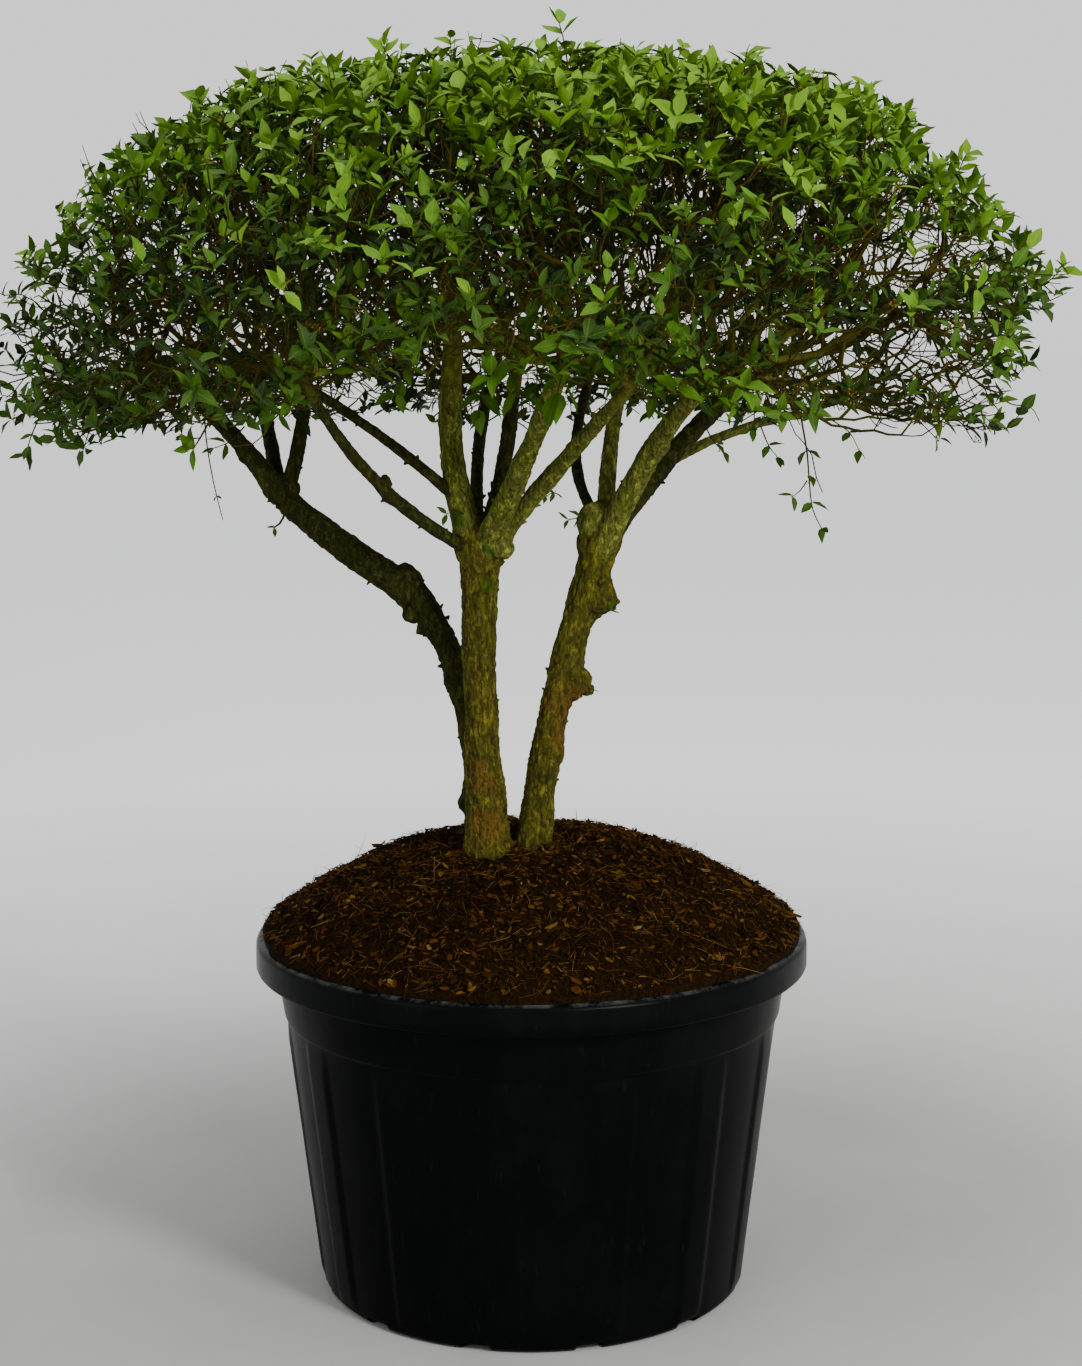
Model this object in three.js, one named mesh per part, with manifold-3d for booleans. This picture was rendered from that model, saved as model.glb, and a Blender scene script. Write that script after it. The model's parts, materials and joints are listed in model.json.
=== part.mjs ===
// A cornelian cherry (Cornus mas): a clump of three stems from one root, trained as an umbrella,
// in its young spring leaves, growing in a large black nursery pot heaped with bark and coir.
// Millimetres, +Z up. The origin is the middle of the pot's flat underside, and the plant's
// best side faces -Y.

import * as THREE from "three";
import { mergeVertices } from "three/addons/utils/BufferGeometryUtils.js";
import Module from "manifold-3d";

const wasm = await Module();
wasm.setup();

// Clearance between neighbouring solids, and the distance under which two corners count as one
const GAP = 0.3;
const NEAR = 0.0015;

const POT = {
  height: 551,
  baseRadius: 329,
  baseChamfer: 8,
  wallTopRadius: 384,
  wallTopHeight: 430,
  bandStep: 4,
  bandTopRadius: 400,
  lipRadius: 431,
  lipDepth: 48,
  mouthRadius: 405,
  wall: 6,
  floor: 9,
  ribs: 14,
  ribHeight: 3.5,
  ribTurn: 6,
  drainNotches: 12,
  notchWidth: 44,
  notchHeight: 11,
  notchDepth: 18,
};

// Corners round the pot, in shares of a rib's pitch: the rib's two feet, its two edges and the
// middle of the plain wall. The mound inside follows fewer of them.
const RIB_CORNERS = [-0.2, -0.14, 0.14, 0.2, 0.5];
const MOUND_CORNERS = [-0.2, 0.2];

// The heap rises from a brim on the pot's lip, and is levelled where the stems stand on it
const MOUND = {
  crest: 708,
  ground: 690,
  brim: 553,
  reach: 426,
  slopePower: 1.85,
  crestPower: 1.15,
  bank: 6,
  rings: 6,
};

// The crown is a wide dome, a little lower on the left, whose sides droop below its middle
const CROWN = {
  centreX: 6,
  halfWidth: 832,
  halfDepth: 760,
  top: 1930,
  equator: 1465,
  equatorTilt: 0.085,
  roundness: 2.2,
  skirtTuck: 0.1,
  hollow: 1400,
  sideDroop: 85,
  droopFrom: 150,
  droopTo: 420,
  frontLift: 40,
};

// A stem stands on its foot, and any other limb leaves its parent at the share "from" of the
// parent's length. It bows through via and ends at tip, and its radii are those of its two ends.
// A knob has a share of the length, a side in degrees (0 is right, 90 front) and a height. Thick
// limbs come first, because a limb gives way to those before it.
const LIMBS = [
  { name: "middle_stem", foot: [-65, -80], via: [-76, -72, 925], tip: [-76, -60, 1165],
    radii: [33, 30], waist: 26, flare: 9, knobs: [[0.98, -20, 11], [0.16, 40, 3]] },
  { name: "right_stem", foot: [4, -72], via: [42, -50, 930], tip: [124, -22, 1195],
    radii: [26, 27], waist: 24, flare: 4, knobs: [[0.33, 20, 5], [0.55, 10, 24], [0.8, 10, 24], [0.93, 170, 7]] },
  { name: "left_stem", foot: [-77, -4], via: [-109, 12, 940], tip: [-196, 40, 1092],
    radii: [23, 23], waist: 20, flare: 4, knobs: [[0.77, 200, 9], [0.5, 190, 4], [0.12, 190, 9]] },
  { name: "left_stem_upper", parent: "left_stem", from: 0.93, via: [-305, 60, 1160],
    tip: [-410, 88, 1246], radii: [24, 19], knobs: [[0.08, 60, 9], [0.8, 230, 6]] },
  { name: "bough_upright", parent: "middle_stem", from: 0.96, via: [-112, -66, 1270],
    tip: [-118, -62, 1410], radii: [22, 17], knobs: [[0.2, 150, 5]] },
  { name: "bough_front", parent: "middle_stem", from: 0.95, via: [-12, -176, 1290],
    tip: [40, -325, 1425], radii: [20, 13], knobs: [] },
  { name: "bough_right_front", parent: "right_stem", from: 0.9, via: [192, -122, 1322],
    tip: [268, -255, 1428], radii: [20, 12], knobs: [[0.5, 0, 4]] },
  { name: "bough_right", parent: "right_stem", from: 0.93, via: [226, 18, 1302],
    tip: [336, 60, 1400], radii: [20, 12], knobs: [[0.62, 300, 6]] },
  { name: "bough_front_right", parent: "middle_stem", from: 0.95, via: [44, -150, 1290],
    tip: [125, -275, 1392], radii: [16, 10], knobs: [[0.1, 330, 9]] },
  { name: "bough_crown", parent: "middle_stem", from: 0.97, via: [-44, -16, 1262],
    tip: [-24, 34, 1392], radii: [15, 11], knobs: [] },
  { name: "bough_right_top", parent: "right_stem", from: 0.97, via: [126, 8, 1306],
    tip: [148, 62, 1408], radii: [14, 10], knobs: [] },
  { name: "bough_left", parent: "left_stem_upper", from: 0.95, via: [-474, 76, 1334],
    tip: [-540, 50, 1402], radii: [17, 11], knobs: [[0.3, 200, 4]] },
  { name: "bough_left_top", parent: "left_stem_upper", from: 0.88, via: [-366, 97, 1310],
    tip: [-354, 120, 1402], radii: [13, 10], knobs: [] },
  { name: "bough_left_back", parent: "left_stem_upper", from: 0.93, via: [-428, 225, 1326],
    tip: [-462, 345, 1398], radii: [13, 9], knobs: [] },
  { name: "bough_back", parent: "middle_stem", from: 0.95, via: [-82, 90, 1282],
    tip: [-66, 262, 1384], radii: [12, 9], knobs: [] },
  { name: "bough_front_left", parent: "middle_stem", from: 0.97, via: [-208, -176, 1256],
    tip: [-304, -318, 1402], radii: [11, 8], knobs: [[0.5, 120, 6]] },
  { name: "bough_back_right", parent: "right_stem", from: 0.99, via: [76, 70, 1266],
    tip: [92, 236, 1384], radii: [10, 8], knobs: [] },
  { name: "bough_left_front", parent: "bough_upright", from: 0.36, via: [-222, -112, 1336],
    tip: [-322, -164, 1408], radii: [9, 7], knobs: [] },
  { name: "bough_right_back", parent: "bough_right", from: 0.42, via: [318, 124, 1322],
    tip: [424, 236, 1342], radii: [9, 7], knobs: [] },
];

// Where each bough's mass of foliage is heaped: a compass angle from +X, and how far out it lies
const HEARTS = {
  bough_upright: [215, 0.3],
  bough_front: [268, 0.66],
  bough_right_front: [322, 0.7],
  bough_right: [2, 0.74],
  bough_front_right: [294, 0.7],
  bough_crown: [100, 0.16],
  bough_right_top: [15, 0.36],
  bough_left: [178, 0.76],
  bough_left_top: [168, 0.45],
  bough_left_back: [142, 0.74],
  bough_back: [108, 0.7],
  bough_front_left: [240, 0.7],
  bough_back_right: [72, 0.68],
  bough_left_front: [208, 0.72],
  bough_right_back: [36, 0.72],
};
const HEART_HEIGHT = 0.62;

// Twigs are aimed at points that keep their distance from each other, thrown at random in the crown
const TWIG = {
  seed: 20,
  throws: 12000,
  spacing: { middle: 118, rim: 145 },
  shell: { from: 0.8, to: 0.96 },
  innerShare: 0.06,
  floor: 34,
  pathWeight: 0.3,
  backTurn: 0.15,
  backTurnCost: 400,
  stem: 60,
  sink: 3,
  tipRadius: 3.8,
  growth: 0.38,
  most: 11,
};

// Leaves stand for sprays, so they are about twice life size
const LEAF = {
  seed: 7,
  length: 122,
  width: 74,
  widestAt: 0.42,
  keel: 4,
  droop: 0.12,
  sink: 1.5,
  offCentre: 1.1,
  spread: 0.9,
  lift: 0.3,
  roll: 0.7,
  sizeSpread: 0.18,
  smallest: 0.62,
  tries: 8,
  longSpan: 190,
  stagger: 9,
  tuftBack: 14,
  nearTip: 60,
};

// How far leaves reach out of the crown's surface and under it, and what keeps masses apart
const LEAF_REACH = { outness: 1.015, below: 26 };
const CELL_MARGIN = 3;
const TWIG_MARGIN = 6.5;

// The leader that stands over the dome, and the sprigs that hang or reach out of it
const SPRIGS = [
  [53, 0, 1892], [330, -30, 1850], [432, -60, 1300], [448, -62, 1244], [-766, 10, 1350],
  [768, 12, 1560], [730, -20, 1400], [-775, -10, 1430],
];

// A seeded random number from 0 to 1, the same sequence on every run
function seededRandom(seed) {
  let state = seed >>> 0;
  return () => {
    state = (state + 0x6d2b79f5) >>> 0;
    let t = state;
    t = Math.imul(t ^ (t >>> 15), t | 1);
    t ^= t + Math.imul(t ^ (t >>> 7), t | 61);
    return ((t ^ (t >>> 14)) >>> 0) / 4294967296;
  };
}

// Solids, and the joining and cutting of them

function solidFrom(geometry) {
  geometry.deleteAttribute("normal");
  geometry.deleteAttribute("uv");
  const merged = mergeVertices(geometry, 1e-4);
  return new wasm.Manifold(
    new wasm.Mesh({
      numProp: 3,
      vertProperties: merged.getAttribute("position").array,
      triVerts: new Uint32Array(merged.index.array),
    }),
  );
}

function geometryFrom(solid) {
  const mesh = solid.getMesh();
  const positions = new Float32Array(mesh.numVert * 3);
  for (let i = 0; i < mesh.numVert; i++) {
    const first = i * mesh.numProp;
    positions.set(mesh.vertProperties.subarray(first, first + 3), i * 3);
  }
  const geometry = new THREE.BufferGeometry();
  geometry.setAttribute("position", new THREE.BufferAttribute(positions, 3));
  geometry.setIndex(new THREE.BufferAttribute(mesh.triVerts, 1));
  geometry.computeVertexNormals();
  return geometry;
}

function boxOf(solid) {
  const { min, max } = solid.boundingBox();
  return new THREE.Box3(new THREE.Vector3(...min), new THREE.Vector3(...max));
}

function largestPiece(solid) {
  return solid.decompose().reduce((a, b) => (b.volume() > a.volume() ? b : a));
}

// The pot and what fills it

function potRadiusAt(height) {
  const share = height / POT.wallTopHeight;
  return THREE.MathUtils.lerp(POT.baseRadius, POT.wallTopRadius, share);
}

// A closed turned shape whose corners stand at the given shares of each rib's pitch
function turned(outline, corners, swell = () => 0) {
  const columns = POT.ribs * corners.length;
  const profile = outline.map(([radius, height]) => new THREE.Vector2(radius, height));
  const shape = new THREE.LatheGeometry(profile, columns);
  const position = shape.getAttribute("position");
  for (let column = 0; column <= columns; column++) {
    const corner = column % columns;
    const share = corners[corner % corners.length];
    const turns = (Math.floor(corner / corners.length) + share) / POT.ribs;
    const angle = THREE.MathUtils.degToRad(POT.ribTurn) + turns * 2 * Math.PI;
    outline.forEach(([radius, height], row) => {
      const r = radius + swell(share, row);
      const index = column * outline.length + row;
      position.setXYZ(index, r * Math.cos(angle), r * Math.sin(angle), height);
    });
  }
  return solidFrom(shape);
}

function drainNotch(index) {
  const box = new THREE.BoxGeometry(POT.notchDepth, POT.notchWidth, POT.notchHeight * 2);
  box.translate(POT.baseRadius, 0, 0);
  box.rotateZ((index + 0.5) * ((2 * Math.PI) / POT.drainNotches));
  return solidFrom(box);
}

// The ribs stand out of the plain wall, from the foot's edge to the step under the band.
function potSolid() {
  const { wall, floor, height, lipDepth, baseChamfer, wallTopHeight, wallTopRadius } = POT;
  const ribbedRows = [2, 3];
  const outline = [
    [0, 0],
    [POT.baseRadius - baseChamfer, 0],
    [potRadiusAt(baseChamfer), baseChamfer],
    [wallTopRadius, wallTopHeight - 3],
    [wallTopRadius + POT.bandStep, wallTopHeight],
    [POT.bandTopRadius, height - lipDepth],
    [POT.lipRadius, height - lipDepth],
    [POT.lipRadius, height - 8],
    [POT.lipRadius - 7, height],
    [POT.mouthRadius, height],
    [wallTopRadius - wall, wallTopHeight],
    [potRadiusAt(floor) - wall, floor],
    [0, floor],
  ];
  const ribSwell = (share, row) =>
    Math.abs(share) < 0.15 && ribbedRows.includes(row) ? POT.ribHeight : 0;
  let pot = turned(outline, RIB_CORNERS, ribSwell);
  for (let i = 0; i < POT.drainNotches; i++) pot = pot.subtract(drainNotch(i));
  return pot;
}

function moundHeight(radius) {
  const { brim, crest, reach, slopePower, crestPower } = MOUND;
  return brim + (crest - brim) * (1 - (radius / reach) ** slopePower) ** (1 / crestPower);
}

function moundRadius(height) {
  const { brim, crest, reach, slopePower, crestPower } = MOUND;
  const share = ((height - brim) / (crest - brim)) ** crestPower;
  return reach * (1 - share) ** (1 / slopePower);
}

// The soil fills the pot. Just inside the mouth a steep bank leads up to the heap's slope.
function moundSolid() {
  const mouth = POT.mouthRadius - GAP * 4;
  const level = moundRadius(MOUND.ground);
  const slope = Array.from({ length: MOUND.rings + 1 }, (_, i) => {
    const radius = THREE.MathUtils.lerp(mouth - MOUND.bank, level, i / MOUND.rings);
    return [radius, moundHeight(radius)];
  });
  const outline = [
    [0, POT.floor + GAP],
    [potRadiusAt(POT.floor) - POT.wall - GAP * 2, POT.floor + GAP],
    [POT.wallTopRadius - POT.wall - GAP * 2, POT.wallTopHeight],
    [mouth, POT.height],
    ...slope,
    [0, MOUND.ground],
  ];
  return turned(outline, MOUND_CORNERS);
}

// Limbs

function limbCurve(limb, curves) {
  const foot = limb.foot && new THREE.Vector3(...limb.foot, MOUND.ground + GAP);
  const start = foot || curves.get(limb.parent).getPoint(limb.from);
  const via = new THREE.Vector3(...limb.via);
  const tip = new THREE.Vector3(...limb.tip);
  // The control point that brings a quadratic curve through via at its middle
  const control = via.multiplyScalar(2).sub(start.clone().add(tip).multiplyScalar(0.5));
  return new THREE.QuadraticBezierCurve3(start, control, tip);
}

// The radius at a share of the limb's length and an angle round it: taper, waist, flare and knobs
function limbRadius(limb, share, angle) {
  const [first, last] = limb.radii;
  const waist = limb.waist ? (limb.waist - (first + last) / 2) * Math.sin(Math.PI * share) : 0;
  const flare = (limb.flare || 0) * Math.exp(-share * 14);
  const knobs = limb.knobs.reduce((sum, [at, facing, height]) => {
    const along = Math.exp(-(((share - at) / 0.045) ** 2));
    const round = Math.max(0, Math.cos(angle - THREE.MathUtils.degToRad(facing))) ** 2;
    return sum + height * along * round;
  }, 0);
  return THREE.MathUtils.lerp(first, last, share) + waist + flare + knobs;
}

// Directions across a limb or twig that don't turn along it: side, and its square to the tangent
function acrossAt(curve, tangent) {
  const chord = curve.getPoint(1).sub(curve.getPoint(0)).normalize();
  const reference = Math.abs(chord.y) > 0.8 ? [1, 0, 0] : [0, 1, 0];
  const side = new THREE.Vector3(...reference).cross(tangent).normalize();
  return { side, square: side.clone().cross(tangent) };
}

// A closed cylinder bent onto a curve. It can be grown all round, to cut its neighbours clear of
// it, and its lowest ring can be laid level, so that a stem stands flat on the ground.
function bentTube(curve, radiusAt, sides, steps, { grow = 0, levelFoot = false } = {}) {
  const tube = new THREE.CylinderGeometry(1, 1, 1, sides, steps);
  const position = tube.getAttribute("position");
  const beyond = grow / curve.getLength();
  for (let i = 0; i < position.count; i++) {
    const [x, y, z] = [position.getX(i), position.getY(i), position.getZ(i)];
    const share = (y + 0.5) * (1 + 2 * beyond) - beyond;
    const tangent = curve.getTangent(THREE.MathUtils.clamp(share, 0, 1));
    const { side, square } = acrossAt(curve, tangent);
    const radius = radiusAt(THREE.MathUtils.clamp(share, 0, 1), Math.atan2(z, x)) + grow;
    const point = curve.getPoint(share);
    if (Math.hypot(x, z) > 0.5) {
      point.addScaledVector(side, x * radius).addScaledVector(square, z * radius);
    }
    if (levelFoot && y < -0.499) point.z = curve.getPoint(0).z;
    position.setXYZ(i, point.x, point.y, point.z);
  }
  return solidFrom(tube);
}

function limbSolid(limb, curve, grow = 0) {
  const sides = limb.foot ? 9 : 6;
  const steps = limb.foot ? 11 : 5;
  const radiusAt = (share, angle) => limbRadius(limb, share, angle);
  return bentTube(curve, radiusAt, sides, steps, { grow, levelFoot: Boolean(limb.foot) && !grow });
}

// The crown

function crownEquator(x) {
  return CROWN.equator + CROWN.equatorTilt * (x - CROWN.centreX);
}

function crownSpread(x, y) {
  return Math.hypot((x - CROWN.centreX) / CROWN.halfWidth, y / CROWN.halfDepth);
}

function crownUnderside(x, y) {
  const fromMiddle = Math.abs(x - CROWN.centreX);
  const side = THREE.MathUtils.smoothstep(fromMiddle, CROWN.droopFrom, CROWN.droopTo);
  const lift = (-y / CROWN.halfDepth) * CROWN.frontLift * (1 - side);
  return CROWN.hollow - CROWN.sideDroop * side + lift;
}

function crownTop(x, y) {
  const { roundness, top } = CROWN;
  const spread = Math.min(1, crownSpread(x, y));
  const share = (1 - spread ** roundness) ** (1 / roundness);
  return THREE.MathUtils.lerp(crownEquator(x), top, share);
}

// 0 in the crown's middle and 1 on its surface
function outness(p) {
  const equator = crownEquator(p.x);
  const spread = crownSpread(p.x, p.y);
  if (p.z < equator) {
    const drop = (equator - p.z) / (equator - crownUnderside(p.x, p.y));
    return spread / (1 - CROWN.skirtTuck * Math.min(1, drop) ** 2);
  }
  const rise = (p.z - equator) / (CROWN.top - equator);
  return (spread ** CROWN.roundness + rise ** CROWN.roundness) ** (1 / CROWN.roundness);
}

function heartOf(limb) {
  const [compass, out] = HEARTS[limb.name];
  const angle = THREE.MathUtils.degToRad(compass);
  const x = CROWN.centreX + CROWN.halfWidth * out * Math.cos(angle);
  const y = CROWN.halfDepth * out * Math.sin(angle);
  const z = THREE.MathUtils.lerp(crownUnderside(x, y), crownTop(x, y), HEART_HEIGHT);
  return new THREE.Vector3(x, y, z);
}

// A mass owns the points that lie nearer to the line from its bough's tip to its heart than to
// any other mass's line. The margin keeps neighbours apart.
function cellDistance(cell, p) {
  const nearest = new THREE.Vector3();
  cell.line.closestPointToPoint(p, true, nearest);
  return nearest.distanceTo(p);
}

function ownerOf(cells, p) {
  return cells.reduce((a, b) => (cellDistance(b, p) < cellDistance(a, p) ? b : a));
}

function isInCell(cells, cell, p, margin) {
  const own = cellDistance(cell, p) + margin;
  return cells.every((other) => other === cell || cellDistance(other, p) > own);
}

// How far a point is from the nearest limb's bark. The limb a mass grows from doesn't count at
// its own tip.
function limbClearance(limbs, p, own) {
  const steps = 14;
  const point = new THREE.Vector3();
  let least = Infinity;
  for (const { limb, curve } of limbs) {
    for (let i = 0; i <= steps; i++) {
      const share = i / steps;
      if (limb === own && share > 0.9) continue;
      curve.getPoint(share, point);
      least = Math.min(least, point.distanceTo(p) - limbRadius(limb, share, 0));
    }
  }
  return least;
}

// Points thrown at random that keep their spacing, mostly in the crown's outer shell
function throwTargets() {
  const random = seededRandom(TWIG.seed);
  const targets = SPRIGS.map((p) => new THREE.Vector3(...p));
  const sprigs = targets.length;
  for (let i = 0; i < TWIG.throws; i++) {
    const p = new THREE.Vector3(
      CROWN.centreX + CROWN.halfWidth * (2 * random() - 1),
      CROWN.halfDepth * (2 * random() - 1),
      THREE.MathUtils.lerp(CROWN.hollow - CROWN.sideDroop, CROWN.top, random()),
    );
    const inner = random() < TWIG.innerShare;
    const out = outness(p);
    const low = inner ? 0 : TWIG.shell.from;
    if (out < low || out > TWIG.shell.to) continue;
    if (p.z < crownUnderside(p.x, p.y) + TWIG.floor) continue;
    const { middle, rim } = TWIG.spacing;
    const spacing = THREE.MathUtils.lerp(middle, rim, crownSpread(p.x, p.y));
    const spaced = targets.every((q) => q.distanceTo(p) > spacing);
    if (spaced) targets.push(p);
  }
  return targets.map((p, i) => ({ p, sprig: i < sprigs }));
}

// Twigs grow by one rule: each target, nearest first, joins the twig point that is close to it and
// to the bough, and that it needn't turn back from.
function growTree(cell, targets, isFree) {
  const start = cell.tip.clone().addScaledVector(cell.ahead, GAP);
  const stem = cell.tip.clone().addScaledVector(cell.ahead, TWIG.stem);
  const points = [
    { p: start, parent: -1, path: 0, ahead: cell.ahead, sprig: false },
    { p: stem, parent: 0, path: TWIG.stem, ahead: cell.ahead, sprig: false },
  ];
  const sorted = [...targets].sort((a, b) => a.p.distanceTo(start) - b.p.distanceTo(start));
  for (const { p, sprig } of sorted) {
    let best = -1;
    let bestCost = Infinity;
    for (let i = 1; i < points.length; i++) {
      const reach = p.clone().sub(points[i].p);
      const distance = reach.length();
      const turn = reach.normalize().dot(points[i].ahead);
      const penalty = turn < TWIG.backTurn ? TWIG.backTurnCost : 0;
      const cost = distance + TWIG.pathWeight * points[i].path + penalty;
      if (cost >= bestCost) continue;
      best = i;
      bestCost = cost;
    }
    const from = points[best];
    if (!isFree(from.p, p)) continue;
    const ahead = p.clone().sub(from.p).normalize();
    const path = from.path + p.distanceTo(from.p);
    points.push({ p, parent: best, path, ahead, sprig });
  }
  return points;
}

// The tree as shoots: each runs on from its parent's point to a tip, along its heaviest child.
function shootsOf(points) {
  const load = points.map(() => 1);
  for (let i = points.length - 1; i > 0; i--) load[points[i].parent] += load[i];
  const children = points.map(() => []);
  points.forEach((point, i) => point.parent >= 0 && children[point.parent].push(i));
  const lines = [];
  const follow = (first, from) => {
    const line = from >= 0 ? [from, first] : [first];
    for (let at = first; children[at].length; ) {
      const [main, ...rest] = [...children[at]].sort((a, b) => load[b] - load[a]);
      rest.forEach((side) => follow(side, at));
      line.push(main);
      at = main;
    }
    lines.push(line);
  };
  follow(0, -1);
  return { lines: lines.reverse(), load };
}

function twigRadius(load, thickest) {
  return Math.min(thickest, TWIG.tipRadius * load ** TWIG.growth, TWIG.most);
}

// A shoot that leaves another starts a little way back inside it.
function shootFrom(line, points, load, thickest) {
  const stops = line.map((i) => points[i].p.clone());
  if (line[0] > 0) {
    const back = stops[0].clone().sub(stops[1]).normalize();
    stops[0].addScaledVector(back, TWIG.sink);
  }
  const curve = new THREE.CatmullRomCurve3(stops, false, "centripetal");
  const radii = line.map((_, n) => twigRadius(load[line[Math.max(n, 1)]], thickest));
  const spans = line.length - 1;
  const radiusAt = (share) => {
    const at = Math.min(spans - 1e-6, share * spans);
    const n = Math.floor(at);
    return THREE.MathUtils.lerp(radii[n], radii[n + 1], at - n);
  };
  const sprigs = line.map((i) => points[i].sprig);
  const solid = bentTube(curve, radiusAt, 3, spans);
  return { curve, stops, sprigs, solid, box: boxOf(solid) };
}

// Six faces: a blade with a keel under its rib, pointed at both ends
function leafCorners(root, along, normal, size) {
  const length = LEAF.length * size;
  const side = along.clone().cross(normal).normalize();
  const middle = root.clone().addScaledVector(along, length * LEAF.widestAt);
  return {
    root,
    tip: root.clone().addScaledVector(along, length).addScaledVector(normal, -length * LEAF.droop),
    left: middle.clone().addScaledVector(side, (-LEAF.width * size) / 2),
    right: middle.clone().addScaledVector(side, (LEAF.width * size) / 2),
    keel: middle.clone().addScaledVector(normal, -LEAF.keel),
  };
}

function leafSolid({ root, tip, left, right, keel }) {
  return solidFrom(new THREE.BufferGeometry().setFromPoints([
    root, right, left, left, right, tip,
    root, left, keel, left, tip, keel, tip, right, keel, right, root, keel,
  ]));
}

function leafBox(corners) {
  return new THREE.Box3().setFromPoints(Object.values(corners));
}

// Points along a leaf's edges and rib at which it is tested
function leafSamples({ root, tip, left, right, keel }) {
  const between = (a, b) => [0.35, 0.7].map((share) => a.clone().lerp(b, share));
  return [
    tip, left, right, keel, ...between(tip, left), ...between(tip, right),
    ...between(root, left), ...between(root, right), ...between(keel, tip),
  ];
}

// A leaf's root is sunk in the twig just under the flat side of the twig that it leaves by.
function leafRoot({ p, sides, sign }, along) {
  const nearest = sides.reduce((a, b) => (b.dot(along) > a.dot(along) ? b : a));
  const root = p.clone().addScaledVector(nearest, LEAF.offCentre);
  return sign === 0 ? root.addScaledVector(along, -LEAF.sink) : root;
}

// Where leaves sit on a shoot: a staggered pair at each stop and halfway along a long span, each
// pair turned a quarter from the last, and one leaf that ends the shoot.
function leafPlaces({ curve, stops, sprigs }) {
  const places = [];
  const spans = stops.length - 1;
  for (let n = 1; n <= spans; n++) {
    const span = stops[n].clone().sub(stops[n - 1]);
    const length = span.length();
    const ahead = span.normalize();
    const { side, square } = acrossAt(curve, ahead);
    const sides = [1, 3, 5].map((third) => {
      const angle = (third * Math.PI) / 3;
      return side.clone().multiplyScalar(Math.sin(angle)).addScaledVector(square, Math.cos(angle));
    });
    const addLeaf = (back, sign, turn) => {
      const p = stops[n].clone().addScaledVector(ahead, -back);
      places.push({ p, ahead, sides, sign, turn, sprig: sprigs[n] && back < LEAF.nearTip });
    };
    const backs = [n < spans ? 0 : LEAF.tuftBack];
    if (length > LEAF.longSpan) backs.push(length / 2);
    backs.forEach((back, i) => {
      addLeaf(back, 1, 2 * n + i);
      addLeaf(back + LEAF.stagger, -1, 2 * n + i);
    });
    if (n === spans) addLeaf(0, 0, n);
  }
  return places;
}

function leafDirection({ ahead, turn, sign }, jitter) {
  const up = new THREE.Vector3(0, 0, 1);
  const level = up.clone().cross(ahead);
  if (level.length() < 0.2) level.set(1, 0, 0);
  level.normalize().applyAxisAngle(ahead, turn * (Math.PI / 2) + jitter);
  const forward = sign === 0 ? 1 : 1 - LEAF.spread * 0.5;
  return ahead.clone().multiplyScalar(forward)
    .addScaledVector(level, (sign || 0.25) * LEAF.spread)
    .addScaledVector(up, LEAF.lift).normalize();
}

// A leaf faces up and out of the crown, rolled a little to one side.
function leafNormal(along, p, roll) {
  const outward = new THREE.Vector3(p.x - CROWN.centreX, p.y, 450).normalize();
  outward.addScaledVector(along, -outward.dot(along)).normalize();
  return outward.applyAxisAngle(along, roll);
}

// Each place tries a few directions, smaller each time, until a leaf fits its mass's space.
function fitLeaf(place, random, isFree) {
  const size = 1 + LEAF.sizeSpread * (random() * 2 - 1);
  for (let i = 0; i < LEAF.tries; i++) {
    const along = leafDirection(place, (random() * 2 - 1) * (0.3 + 0.35 * i));
    const normal = leafNormal(along, place.p, LEAF.roll * (random() * 2 - 1));
    const shrunk = THREE.MathUtils.lerp(size, LEAF.smallest, i / LEAF.tries);
    const corners = leafCorners(leafRoot(place, along), along, normal, shrunk);
    const leaf = { corners, solid: leafSolid(corners), box: leafBox(corners) };
    if (isFree(leaf, place.sprig)) return leaf;
  }
  return null;
}

// No leaf crosses another leaf or a twig other than its own.
function leavesOf(shoots, random, isFree) {
  const leaves = [];
  for (const shoot of shoots) {
    const others = shoots.filter((other) => other !== shoot);
    const fits = (leaf, sprig) =>
      isFree(leaf, sprig) && ![...leaves, ...others].some((other) => meets(leaf, other));
    for (const place of leafPlaces(shoot)) {
      const leaf = fitLeaf(place, random, fits);
      if (leaf) leaves.push(leaf);
    }
  }
  return leaves;
}

// Whether two boxed solids share any space
function meets(a, b) {
  return a.box.intersectsBox(b.box) && a.solid.intersect(b.solid).volume() > 0;
}

// One mass of foliage: the twigs of its tree and their leaves, fused
function massSolid(cell, cells, limbs, targets, random) {
  const isClear = (p, margin) =>
    isInCell(cells, cell, p, margin) && limbClearance(limbs, p, cell.limb) > margin;
  const isTwigFree = (a, b) => {
    const steps = 8;
    return Array.from({ length: steps }, (_, i) => a.clone().lerp(b, (i + 1) / steps))
      .every((p) => isClear(p, TWIG_MARGIN));
  };
  const reaches = (p) =>
    outness(p) < LEAF_REACH.outness && p.z > crownUnderside(p.x, p.y) - LEAF_REACH.below;
  const isLeafFree = (leaf, sprig) =>
    leafSamples(leaf.corners).every((p) =>
      (sprig || reaches(p)) && isInCell(cells, cell, p, CELL_MARGIN)) &&
    !limbs.some((limb) => meets(leaf, limb));
  const points = growTree(cell, targets, isTwigFree);
  const { lines, load } = shootsOf(points);
  const thickest = cell.limb.radii[1] * 0.95;
  const shoots = lines.map((line) => shootFrom(line, points, load, thickest));
  const leaves = leavesOf(shoots, random, isLeafFree);
  return fusedCleanly(shoots, leaves);
}

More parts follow.
